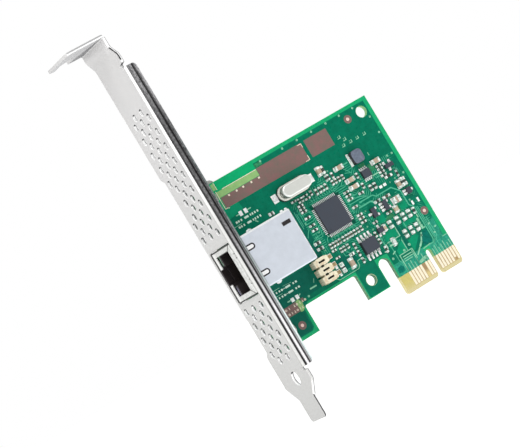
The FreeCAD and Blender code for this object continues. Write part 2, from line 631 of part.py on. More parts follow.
# ================================================================ status lamps in the jack
for nm, z0 in (("link_lamp", 23.65), ("activity_lamp", 33.45)):
    b = box(nm + "_body", 0.9, 4.6, -2.5, -0.35, z0, z0 + 3.2)
    f = doc.addObject("Part::Fillet", nm + "_round")
    f.Base = b
    doc.recompute()
    f.Edges = [(i, 0.25, 0.25) for i, e in enumerate(b.Shape.Edges, start=1)
               if near(e.BoundBox.XMax, D["face_x"] + 0.9) and e.BoundBox.XLength < 0.01]
    node(f, nm)
items = [box("lamp_lead_%d" % k, x - 0.22, x + 0.22, -0.35, 2.9, z - 0.22, z + 0.22) for k, (x, z) in enumerate(LED_PINS)]
node(group("lamp_leads_all", items), "lamp_leads")

# ================================================================ magnetics inside the rear of the jack
node(box("magnetics_board_box", 19.45, 20.2, -12.0, -1.0, 23.6, 36.7), "magnetics_board")
cores, coils = [], []
for r, y in enumerate((-10.3, -7.4, -4.5)):
    for c, z in enumerate((25.2, 28.5, 31.8, 35.1)):
        nm = "%d_%d" % (r, c)
        to = doc.addObject("Part::Torus", "core_" + nm)
        to.Radius1, to.Radius2 = 0.95, 0.34
        w1 = doc.addObject("Part::Torus", "coil_out_" + nm)
        w1.Radius1, w1.Radius2, w1.Angle3 = 0.95, 0.44, 320
        w2 = doc.addObject("Part::Torus", "coil_in_" + nm)
        w2.Radius1, w2.Radius2 = 0.95, 0.34
        for o in (to, w1, w2):
            o.Placement = FreeCAD.Placement(V(0, 0, 0), FreeCAD.Rotation(V(0, 1, 0), 90))
            bind(o, "Placement.Base.x", px(19.01))
            bind(o, "Placement.Base.y", py(y))
            bind(o, "Placement.Base.z", z)
        cores.append(to)
        coils.append(cut("coil_" + nm, w1, w2))
node(group("cores", cores), "transformer_cores")
node(group("coils", coils), "transformer_windings")
items = [box("pin_%d" % k, x - 0.25, x + 0.25, -1.6, 2.9, z - 0.25, z + 0.25) for k, (x, z) in enumerate(PINS)]
node(group("pins_all", items), "jack_pins")

# ================================================================ crystal
seat = doc.addObject("PartDesign::Body", "can_seat")
cc = doc.addObject("PartDesign::Body", "can_body")


def stadium(sk, cx, cz, length, width):
    """Two half rounds joined by two straight sides, held at their centres."""
    r = val(width) / 2
    h = val(length) / 2 - r
    x, z = val(cx), val(cz)
    a = sk.addGeometry(Part.ArcOfCircle(Part.Circle(V(x + h, z, 0), V(0, 0, 1), r), -math.pi / 2, math.pi / 2), False)
    b = sk.addGeometry(Part.ArcOfCircle(Part.Circle(V(x - h, z, 0), V(0, 0, 1), r), math.pi / 2, 3 * math.pi / 2), False)
    c = sk.addGeometry(Part.LineSegment(V(x + h, z + r, 0), V(x - h, z + r, 0)), False)
    d = sk.addGeometry(Part.LineSegment(V(x - h, z - r, 0), V(x + h, z - r, 0)), False)
    for g1, p1, g2, p2 in ((a, 2, c, 1), (c, 2, b, 1), (b, 2, d, 1), (d, 2, a, 1)):
        sk.addConstraint(Sketcher.Constraint("Tangent", g1, p1, g2, p2))
    place(sk, a, 3, "%s + (%s) / 2 - (%s) / 2" % (cx, length, width), cz)
    place(sk, b, 3, "%s - (%s) / 2 + (%s) / 2" % (cx, length, width), cz)
    i = sk.addConstraint(Sketcher.Constraint("Radius", a, r))
    bind(sk, "Constraints[%d]" % i, "(%s) / 2" % width)


sk = new_sketch(seat, "seat_outline", "XZ_Plane", "0 - {front_y}")
stadium(sk, "{face_x} + 31.45", 42.27, "{can_long} + 1.1", "{can_wide} + 0.9")
pad(seat, "seat_pad", sk, 0.7)
node(seat, "crystal_base")
sk = new_sketch(cc, "can_flange", "XZ_Plane", "0 - {front_y} + 0.7")
stadium(sk, "{face_x} + 31.45", 42.27, "{can_long} + 0.9", "{can_wide} + 0.7")
pad(cc, "can_flange_pad", sk, 0.4)
sk = new_sketch(cc, "can_wall", "XZ_Plane", "0 - {front_y} + 1.1")
stadium(sk, "{face_x} + 31.45", 42.27, "{can_long}", "{can_wide}")
pad(cc, "can_pad", sk, "{can_high}")
ytop = D["front_y"] - 1.1 - D["can_high"]
fillet(cc, "can_top_round", 0.55, lambda e, b: near(b.YMin, ytop) and near(b.YMax, ytop))
node(cc, "crystal_can")
node(group("crystal_leads_all", [box("crystal_lead_a", 24.4, 25.94, -0.22, 0, 41.85, 42.7),
                                 box("crystal_lead_b", 36.96, 38.5, -0.22, 0, 41.85, 42.7)]), "crystal_leads")

# ================================================================ moulded packages with gull-wing leads
def gull(name, side, pos, edge, reach, width, drop, thick=0.16):
    """One lead.  side is +z, -z, +x or -x; edge is the package edge, reach how far out the foot ends."""
    foot = reach * 0.5
    prof = [(-0.0, -drop), (reach - foot, -drop), (reach - foot + 0.05, -thick - 0.02), (reach, -thick), (reach, 0),
            (reach - foot - 0.12, 0), (reach - foot - 0.2, -drop + thick), (0, -drop + thick)]
    if side in ("+z", "-z"):
        s = 1 if side == "+z" else -1
        return prism(name, [(y, edge + s * a) for a, y in prof], "yz", pos - width / 2, width)
    s = 1 if side == "+x" else -1
    return prism(name, [(edge + s * a, y) for a, y in prof], "xy", pos - width / 2, width)


def package(name, x0, x1, z0, z1, lift, high):
    """Moulded body: widest at mid height, its sides drafted."""
    dr = 0.1
    m = (lift + high) / 2
    a = box(name, x0, x1, -high, -lift, z0, z1)
    c = doc.addObject("Part::Chamfer", name + "_draft")
    c.Base = a
    doc.recompute()
    yt = D["front_y"] - high
    c.Edges = [(i, dr, dr) for i, e in enumerate(a.Shape.Edges, start=1)
               if near(e.BoundBox.YMax, yt) and near(e.BoundBox.YMin, yt)]
    return c


cb = doc.addObject("PartDesign::Body", "controller")
sk = new_sketch(cb, "controller_outline", "XZ_Plane", "0 - {front_y} + 0.06")
h, v = "{chip_body} / 2", "{chip_tall} / 2"
cx, cz = "{face_x} + 37.85", "30.3"
poly(sk, [(cx + " - " + h, cz + " - " + v), (cx + " + " + h, cz + " - " + v), (cx + " + " + h, cz + " + " + v),
          (cx + " - " + h, cz + " + " + v)])
pad(cb, "controller_pad", sk, "{chip_high} - 0.06")
yc = D["front_y"] - D["chip_high"]
fillet(cb, "controller_corners", 0.35,
       lambda e, b: near(b.YLength, D["chip_high"] - 0.06) and b.XLength < 0.01 and b.ZLength < 0.01)
fillet(cb, "controller_edge", 0.1, lambda e, b: near(b.YMin, yc) and near(b.YMax, yc))
sk = new_sketch(cb, "pin_one_dimple", "XZ_Plane", "0 - {front_y} + {chip_high}")
circles(sk, [(cx + " - 3.3", 26.8)], 0.4)
pocket(cb, "pin_one", sk, 0.08)
node(cb, "controller_body")
items = []
for k in range(16):
    o = (k - 7.5) * D["chip_pitch"]
    items.append(box("land_w%d" % k, 33.12, 33.75, -0.12, 0, 30.3 + o - 0.13, 30.3 + o + 0.13))
    items.append(box("land_e%d" % k, 41.95, 42.95, -0.12, 0, 30.3 + o - 0.13, 30.3 + o + 0.13))
    items.append(box("land_s%d" % k, 37.85 + o - 0.13, 37.85 + o + 0.13, -0.12, 0, 25.22, 25.9))
    items.append(box("land_n%d" % k, 37.85 + o - 0.13, 37.85 + o + 0.13, -0.12, 0, 34.7, 35.42))
node(group("lands", items), "controller_leads")


node(package("flash", 40.3, 45.05, 15.65, 19.5, 0.1, 1.6), "flash_body")
items = []
for k in range(4):
    x = 42.75 + (k - 1.5) * 1.27
    items.append(gull("flash_t%d" % k, "+z", x, 19.5, 1.4, 0.4, 0.85, 0.2))
    items.append(gull("flash_b%d" % k, "-z", x, 15.65, 1.4, 0.4, 0.85, 0.2))
node(group("flash_leads_all", items), "flash_leads")

node(package("regulator", 52.15, 54.95, 34.35, 36.65, 0.08, 1.05), "regulator_body")
items = []
for k in range(4):
    x = 53.55 + (k - 1.5) * 0.65
    items.append(gull("reg_t%d" % k, "+z", x, 36.65, 0.75, 0.3, 0.6))
    items.append(gull("reg_b%d" % k, "-z", x, 34.35, 0.75, 0.3, 0.6))
node(group("regulator_leads_all", items), "regulator_leads")

# transistors and small drivers: body limits, then leads as side, position
SMALL = [
    ("q1", (59.75, 62.5, 33.65, 34.9), [("+z", 60.1), ("+z", 62.05), ("-z", 61.1)]),
    ("q2", (48.55, 50.0, 23.45, 26.25), [("-x", 24.85), ("+x", 25.85), ("+x", 23.85)]),
    ("q3", (61.7, 63.2, 24.3, 26.2), [("-x", 25.7), ("-x", 24.8), ("+x", 25.25)]),
    ("q4", (47.2, 49.2, 18.95, 20.45), [("+z", 48.2), ("-z", 47.6), ("-z", 48.8)]),
    ("q5", (52.95, 54.35, 23.5, 26.5), [("-x", 24.05), ("-x", 25.0), ("-x", 25.95), ("+x", 24.05), ("+x", 25.95)]),
]
bodies, leads = [], []
for nm, (x0, x1, z0, z1), ls in SMALL:
    bodies.append(package(nm, x0, x1, z0, z1, 0.08, 1.0))
    for k, (side, pos) in enumerate(ls):
        edge = {"+z": z1, "-z": z0, "+x": x1, "-x": x0}[side]
        leads.append(gull("%s_lead_%d" % (nm, k), side, pos, edge, 0.62, 0.42, 0.55))
node(group("transistor_all", bodies), "transistor_bodies")
node(group("transistor_leads_all", leads), "transistor_leads")

# ================================================================ power inductor
ib = doc.addObject("PartDesign::Body", "coil_core")
sk = new_sketch(ib, "coil_outline", "XZ_Plane", "0 - {front_y} + 0.1")
poly(sk, [("{face_x} + 51.6", 38.98), ("{face_x} + 55.2", 38.98), ("{face_x} + 55.2", 42.95), ("{face_x} + 51.6", 42.95)])
pad(ib, "coil_pad", sk, "{coil_high} - 0.1")
fillet(ib, "coil_corners", 1.05,
       lambda e, b: near(b.YLength, D["coil_high"] - 0.1) and b.XLength < 0.01 and b.ZLength < 0.01)
yt = D["front_y"] - D["coil_high"]
fillet(ib, "coil_top", 0.35, lambda e, b: near(b.YMin, yt) and near(b.YMax, yt))
node(ib, "inductor_core")
node(group("coil_ends", [box("coil_end_a", 51.15, 51.6, -0.5, 0, 39.1, 42.8),
                         box("coil_end_b", 55.2, 55.6, -0.5, 0, 39.95, 42.0)]), "inductor_terminals")

# ================================================================ three moulded blocks
blocks, ends = [], []
for k, z in enumerate((15.62, 18.18, 20.74)):
    half = [(27.6, 1.2), (27.75, 1.05), (28.35, 1.0), (28.6, 0.75)]
    rim = [(23.75, z - 0.95), (24.7, z - 0.95), (24.7, z - 1.2)] + [(x, z - w) for x, w in half]
    rim += [(x, z + w) for x, w in half[::-1]] + [(24.7, z + 1.2), (24.7, z + 0.95), (23.75, z + 0.95)]
    b = prism("block_%d" % k, rim, "xz", "0 - {block_high}", "{block_high}")
    sl = [box("block_slot_%d" % k, 25.2, 27.4, "0 - {block_high} - 0.5", "0 - {block_high} + 0.9", z - 0.27, z + 0.27)]
    if k < 2:
        sl.append(box("block_gap_a%d" % k, 25.25, 26.25, "0 - {block_high} - 0.5", "0 - {block_high} + 0.9", z + 0.97, z + 1.4))
    if k > 0:
        sl.append(box("block_gap_b%d" % k, 25.25, 26.25, "0 - {block_high} - 0.5", "0 - {block_high} + 0.9", z - 1.4, z - 0.97))
    blocks.append(cut("block_cut_%d" % k, b, sl))
    ends.append(prism("block_end_%d" % k, [(28.6, -1.15), (29.3, -1.15), (29.5, -0.95), (29.6, -0.28), (31.0, -0.22), (31.0, 0), (28.75, 0),
                                           (28.6, -0.2)], "xy", z - 0.55, 1.1))
node(group("blocks_all", blocks), "moulded_blocks")
node(group("block_ends_all", ends), "block_terminals")

# ================================================================ two-ended chips
# centre x, centre z, length, width, height, direction and, where the metal ends are longer, their share
BIG = [(46.95, 40.8, 2.6, 1.35, 1.1, "x"), (48.15, 36.15, 2.7, 1.3, 1.0, "x"), (48.15, 33.95, 2.7, 1.3, 1.0, "x"),
       (58.05, 37.2, 2.6, 1.4, 1.1, "x"), (41.0, 42.7, 2.5, 1.35, 1.0, "z"), (57.5, 24.8, 2.4, 1.9, 1.1, "x", 0.36),
       (60.75, 28.15, 2.3, 1.15, 0.9, "z"), (35.2, 15.9, 2.9, 1.25, 1.1, "z"), (55.95, 22.5, 1.9, 1.25, 0.8, "z"),
       (50.0, 14.9, 2.2, 1.0, 0.9, "z", 0.3), (49.75, 19.6, 1.9, 0.9, 0.8, "z")]
LITTLE = [(x, 22.95, 1.35, 0.6, 0.5, "z") for x in (32.35, 33.45, 34.55, 35.65, 36.95, 38.05, 39.0, 39.95, 41.05, 42.25, 43.45)]
LITTLE += [(x, 20.55, 1.25, 0.6, 0.5, "z") for x in (34.55, 35.65, 36.95)]
LITTLE += [(x, 38.05, 1.35, 0.6, 0.5, "z") for x in (43.1, 44.2, 45.4, 46.7)]
LITTLE += [(x, 38.1, 1.7, 0.55, 0.5, "z") for x in (37.2, 38.4, 39.45, 40.65)]
LITTLE += [(45.2, z, 1.6, 0.6, 0.5, "x") for z in (24.1, 25.3, 26.4, 28.95, 31.45, 32.6, 33.75)]
LITTLE += [(46.3, 19.3, 1.5, 0.6, 0.5, "z"), (46.3, 17.1, 1.5, 0.6, 0.5, "z"), (46.8, 14.2, 1.9, 0.55, 0.5, "z"),
           (55.4, 27.0, 2.3, 0.75, 0.55, "x"), (53.6, 22.65, 1.6, 0.6, 0.5, "x")]
OHMS = [(30.75, z, 1.7, 0.58, 0.4, "x") for z in (29.15, 30.65, 33.1, 35.1, 36.05, 37.0)]
OHMS += [(58.35, z, 1.7, 0.62, 0.4, "x") for z in (32.6, 33.65, 34.65, 35.65)]
OHMS += [(x, 19.6, 2.2, 1.15, 0.5, "z", 0.34) for x in (51.95, 54.6, 56.85, 58.9)]
OHMS += [(x, 15.15, 2.3, 1.1, 0.5, "z", 0.36) for x in (54.7, 56.9, 58.95)]
OHMS += [(59.45, 31.65, 2.4, 0.7, 0.4, "x"), (62.3, 31.1, 1.8, 0.5, 0.4, "z"), (62.15, 28.25, 2.7, 0.7, 0.5, "z", 0.36),
         (63.1, 28.2, 2.5, 0.6, 0.45, "z", 0.36), (50.85, 36.25, 1.5, 0.65, 0.4, "z"), (50.85, 32.95, 1.5, 0.65, 0.4, "z"),
         (52.65, 31.3, 1.7, 0.85, 0.45, "z"), (54.15, 31.3, 1.7, 0.85, 0.45, "z"), (42.5, 42.6, 2.3, 0.7, 0.45, "z"),
         (42.0, 40.0, 1.6, 0.5, 0.4, "z"), (42.8, 40.05, 1.6, 0.5, 0.4, "z"), (44.2, 39.85, 1.7, 0.6, 0.4, "z"),
         (29.25, 25.6, 1.9, 0.85, 0.5, "x"), (29.25, 23.9, 1.9, 0.85, 0.5, "x"), (38.85, 19.6, 1.6, 0.6, 0.4, "z"),
         (38.85, 17.25, 1.6, 0.6, 0.4, "z"), (38.85, 14.95, 1.6, 0.6, 0.4, "z"), (52.2, 27.1, 1.9, 0.8, 0.45, "x"),
         (21.8, 39.2, 1.5, 0.95, 0.5, "x"), (31.1, 38.4, 1.3, 0.55, 0.4, "z"), (32.2, 38.35, 1.3, 0.55, 0.4, "z"),
         (29.6, 38.95, 1.5, 0.5, 0.4, "x"), (33.6, 38.85, 1.5, 0.42, 0.4, "x"), (33.9, 37.8, 1.5, 0.5, 0.4, "x"),
         (35.6, 38.65, 1.3, 0.55, 0.4, "z"), (49.2, 31.5, 1.5, 0.62, 0.4, "x"), (32.5, 19.2, 1.2, 0.55, 0.4, "x"),
         (32.6, 21.45, 1.2, 0.6, 0.4, "x"), (48.2, 22.3, 1.3, 0.6, 0.4, "x"), (60.7, 19.6, 1.8, 0.8, 0.45, "z"),
         (32.3, 16.15, 3.0, 1.0, 0.5, "z", 0.42), (36.75, 18.05, 1.4, 0.85, 0.5, "x", 0.36)]


def chips(tag, rows, body_label, end_label, frac):
    bs, es = [], []
    for k, row in enumerate(rows):
        x, z, ln, w, h, d = row[:6]
        hx, hz = (ln / 2, w / 2) if d == "x" else (w / 2, ln / 2)
        e = ln * (row[6] if len(row) > 6 else frac)
        nm = "%s_%02d" % (tag, k)
        if d == "x":
            bs.append(box(nm, x - hx + e, x + hx - e, -h + 0.02, -0.03, z - hz + 0.02, z + hz - 0.02))
            es.append(box(nm + "_a", x - hx, x - hx + e, -h, 0, z - hz, z + hz))
            es.append(box(nm + "_b", x + hx - e, x + hx, -h, 0, z - hz, z + hz))
        else:
            bs.append(box(nm, x - hx + 0.02, x + hx - 0.02, -h + 0.02, -0.03, z - hz + e, z + hz - e))
            es.append(box(nm + "_a", x - hx, x + hx, -h, 0, z - hz, z - hz + e))
            es.append(box(nm + "_b", x - hx, x + hx, -h, 0, z + hz - e, z + hz))
    node(group(tag + "_bodies", bs), body_label)
    node(group(tag + "_ends", es), end_label)


chips("cap", BIG, "chip_capacitors", "chip_capacitor_ends", 0.22)
chips("capsmall", LITTLE, "small_capacitors", "small_capacitor_ends", 0.28)
chips("ohm", OHMS, "chip_resistors", "chip_resistor_ends", 0.27)

# ---------------------------------------------------------------- check every object, then write
doc.recompute()
bad = [o.Name for o in doc.Objects if "Invalid" in o.State or "Error" in o.State]
if bad:
    raise RuntimeError("failed objects: " + ", ".join(bad))
labels = [o.Label for o in NODES]
assert len(labels) == len(set(labels)), "labels repeat"
for o in NODES:
    s = o.Shape
    if s.isNull() or not s.isValid() or not s.Solids:
        raise RuntimeError("bad shape in " + o.Label)
os.makedirs("parts", exist_ok=True)
for o in NODES:
    o.Shape.exportStep("parts/%s.step" % o.Label)
    bb = o.Shape.BoundBox
    print("%-22s solids %3d volume %9.3f  x %.2f..%.2f y %.2f..%.2f z %.2f..%.2f"
          % (o.Label, len(o.Shape.Solids), o.Shape.Volume, bb.XMin, bb.XMax, bb.YMin, bb.YMax, bb.ZMin, bb.ZMax))
print("nodes", len(NODES))
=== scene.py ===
import bpy, bmesh, math, random
from mathutils import Vector, Matrix
from mathutils.geometry import tessellate_polygon


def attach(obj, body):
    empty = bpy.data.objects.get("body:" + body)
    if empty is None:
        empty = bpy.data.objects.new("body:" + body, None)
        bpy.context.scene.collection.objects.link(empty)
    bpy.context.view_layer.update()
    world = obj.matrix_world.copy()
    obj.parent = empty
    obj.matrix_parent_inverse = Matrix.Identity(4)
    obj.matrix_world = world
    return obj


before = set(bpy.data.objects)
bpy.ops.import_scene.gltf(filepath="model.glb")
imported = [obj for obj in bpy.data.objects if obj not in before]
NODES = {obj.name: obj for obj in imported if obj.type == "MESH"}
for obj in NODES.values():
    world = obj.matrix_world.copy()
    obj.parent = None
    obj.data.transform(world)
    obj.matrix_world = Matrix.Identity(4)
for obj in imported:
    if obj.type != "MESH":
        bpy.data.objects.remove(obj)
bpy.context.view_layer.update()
RNG = random.Random(11)
MM = 0.001
FX, FY, BY = -58.06, -0.785, 0.785      # bracket outer face, component face, solder face (mm)


# ================================================================== camera
def camera():
    data = bpy.data.cameras.new("camera")
    data.sensor_width = 36.0
    data.sensor_fit = "HORIZONTAL"
    data.lens = 2612.0113 / 520.0 * 36.0
    data.clip_start = 0.05
    data.clip_end = 60.0
    data.shift_x = (260.0 - 259.93977) / 520.0
    data.shift_y = (209.29568 - 224.0) / 520.0
    rows = [[0.78093621, -0.35423938, -0.51444445],
            [-0.45773013, 0.23584235, -0.85724064],
            [0.42499618, 0.90492698, 0.02203179]]
    cam = bpy.data.objects.new("camera", data)
    m = Matrix((Vector(rows[0]), -Vector(rows[1]), -Vector(rows[2]))).transposed().to_4x4()
    m.translation = Vector((-288.4856908 - 58.06, -655.89382124 - 0.785, 25.96349737)) * MM
    cam.matrix_world = m
    bpy.context.scene.collection.objects.link(cam)
    bpy.context.scene.camera = cam


# ================================================================== light
def area(name, loc, target, size, power, color=(1, 1, 1), size_y=None):
    d = bpy.data.lights.new(name, "AREA")
    d.shape = "RECTANGLE"
    d.size = size
    d.size_y = size_y or size
    d.energy = power
    d.color = color
    o = bpy.data.objects.new(name, d)
    o.location = loc
    o.rotation_euler = (Vector(target) - Vector(loc)).to_track_quat("-Z", "Y").to_euler()
    bpy.context.scene.collection.objects.link(o)
    return o


def light_up():
    """White studio: pale all round, with a darker side that the polished metal and the lacquer mirror."""
    sc = bpy.context.scene
    sc.view_settings.view_transform = "Standard"
    world = bpy.data.worlds.new("world")
    world.use_nodes = True
    sc.world = world
    nt = world.node_tree
    n, l = nt.nodes, nt.links
    n.clear()
    out = n.new("ShaderNodeOutputWorld")
    tc = n.new("ShaderNodeTexCoord")
    dot = n.new("ShaderNodeVectorMath"); dot.operation = "DOT_PRODUCT"
    dot.inputs[1].default_value = Vector((0.50, -0.86, 0.0)).normalized()
    l.new(tc.outputs["Generated"], dot.inputs[0])
    ramp = n.new("ShaderNodeValToRGB")
    ramp.color_ramp.elements[0].position = 0.62
    ramp.color_ramp.elements[0].color = (1, 1, 1, 1)
    ramp.color_ramp.elements[1].position = 0.90
    ramp.color_ramp.elements[1].color = (0.05, 0.05, 0.055, 1)
    l.new(dot.outputs["Value"], ramp.inputs[0])
    env = n.new("ShaderNodeBackground")
    env.inputs[1].default_value = ENV
    l.new(ramp.outputs[0], env.inputs[0])
    white = n.new("ShaderNodeBackground")
    white.inputs[0].default_value = (1, 1, 1, 1)
    white.inputs[1].default_value = 1.0
    lp = n.new("ShaderNodeLightPath")
    mix = n.new("ShaderNodeMixShader")
    l.new(lp.outputs["Is Camera Ray"], mix.inputs[0])
    l.new(env.outputs[0], mix.inputs[1])
    l.new(white.outputs[0], mix.inputs[2])
    l.new(mix.outputs[0], out.inputs[0])
    t = (-0.03, -0.005, 0.04)
    area("key", (-0.35, -0.70, 1.05), t, 0.55, KEY)
    area("left", (-1.1, 0.45, 0.20), t, 0.9, LEFT)


ENV, KEY, LEFT = 0.585, 9.3, 3.9


# ================================================================== shader helpers
class Mat:
    """A Principled material with short names for the nodes it needs.  Coordinates are the row frame in mm."""

    def __init__(self, name, rough=0.5, metal=0.0, spec=0.5, color=None):
        self.m = bpy.data.materials.new(name)
        self.m.use_nodes = True
        self.n, self.l = self.m.node_tree.nodes, self.m.node_tree.links
        self.b = self.n["Principled BSDF"]
        self.b.inputs["Metallic"].default_value = metal
        self.b.inputs["Roughness"].default_value = rough
        self.b.inputs["Specular IOR Level"].default_value = spec
        if color:
            self.b.inputs["Base Color"].default_value = (*color, 1)
        self._xyz = None

    def put(self, sock, v):
        if isinstance(v, bpy.types.NodeSocket):
            self.l.new(v, sock)
        elif isinstance(v, (tuple, list)) and len(v) == 3 and sock.type == "RGBA":
            sock.default_value = (*v, 1)
        elif sock.type == "RGBA":
            sock.default_value = (v, v, v, 1)
        else:
            sock.default_value = v

    def co(self):
        if not hasattr(self, "_co"):
            tc = self.n.new("ShaderNodeTexCoord")
            vm = self.n.new("ShaderNodeVectorMath")
            vm.operation = "SCALE"
            self.l.new(tc.outputs["Object"], vm.inputs[0])
            vm.inputs["Scale"].default_value = 1000.0
            self._co = vm.outputs[0]
        return self._co

    def xyz(self):
        if not self._xyz:
            s = self.n.new("ShaderNodeSeparateXYZ")
            self.l.new(self.co(), s.inputs[0])
            self._xyz = s.outputs
        return self._xyz

    def math(self, op, a, b=None, clamp=False):
        m = self.n.new("ShaderNodeMath")
        m.operation = op
        m.use_clamp = clamp
        self.put(m.inputs[0], a)
        if b is not None:
            self.put(m.inputs[1], b)
        return m.outputs[0]

    def noise(self, scale, detail=3.0, rough=0.55, stretch=None, dist=0.0):
        t = self.n.new("ShaderNodeTexNoise")
        v = self.co()
        if stretch:
            mp = self.n.new("ShaderNodeMapping")
            mp.inputs["Scale"].default_value = stretch
            self.l.new(v, mp.inputs["Vector"])
            v = mp.outputs[0]
        self.l.new(v, t.inputs["Vector"])
        t.inputs["Scale"].default_value = scale
        t.inputs["Detail"].default_value = detail
        t.inputs["Roughness"].default_value = rough
        t.inputs["Distortion"].default_value = dist
        return t.outputs["Fac"]

    def voronoi(self, scale, stretch=None, feature="F1"):
        t = self.n.new("ShaderNodeTexVoronoi")
        t.feature = feature
        v = self.co()
        if stretch:
            mp = self.n.new("ShaderNodeMapping")
            mp.inputs["Scale"].default_value = stretch
            self.l.new(v, mp.inputs["Vector"])
            v = mp.outputs[0]
        self.l.new(v, t.inputs["Vector"])
        t.inputs["Scale"].default_value = scale
        return t.outputs["Distance"]

    def ramp(self, fac, stops, interp="LINEAR"):
        r = self.n.new("ShaderNodeValToRGB")
        cr = r.color_ramp
        cr.interpolation = interp
        while len(cr.elements) < len(stops):
            cr.elements.new(0.5)
        for e, (p, c) in zip(cr.elements, stops):
            e.position = p
            e.color = (c, c, c, 1) if isinstance(c, (int, float)) else (*c, 1)
        self.put(r.inputs[0], fac)
        return r.outputs[0]

    def mix(self, f, a, b, blend="MIX"):
        m = self.n.new("ShaderNodeMix")
        m.data_type = "RGBA"
        m.blend_type = blend
        self.put(m.inputs[0], f)
        self.put(m.inputs[6], a)
        self.put(m.inputs[7], b)
        return m.outputs[2]

    def rng(self, v, a0, a1, b0, b1):
        m = self.n.new("ShaderNodeMapRange")
        self.put(m.inputs[0], v)
        for i, x in enumerate((a0, a1, b0, b1), start=1):
            m.inputs[i].default_value = x
        return m.outputs[0]

    def between(self, v, lo, hi, soft=0.02):
        """1 where lo < v < hi."""
        a = self.rng(v, lo - soft, lo + soft, 0, 1)
        b = self.rng(v, hi - soft, hi + soft, 1, 0)
        return self.math("MULTIPLY", a, b)

    def bump(self, height, strength, dist=0.0001):
        b = self.n.new("ShaderNodeBump")
        b.inputs["Strength"].default_value = strength
        b.inputs["Distance"].default_value = dist
        self.put(b.inputs["Height"], height)
        self.l.new(b.outputs[0], self.b.inputs["Normal"])
        return b

    def color(self, v):
        self.put(self.b.inputs["Base Color"], v)

    def rough(self, v):
        self.put(self.b.inputs["Roughness"], v)


def scaled(c, k):
    return tuple(min(1.0, x * k) for x in c)


def mottled(mat, color, amount=0.1, scale=1.2, detail=4.0, stretch=None, dark=None):
    n = mat.noise(scale, detail, 0.6, stretch)
    lo, hi = dark or scaled(color, 1 - amount), scaled(color, 1 + amount)
    return mat.mix(mat.rng(n, 0.3, 0.7, 0, 1), lo, hi)


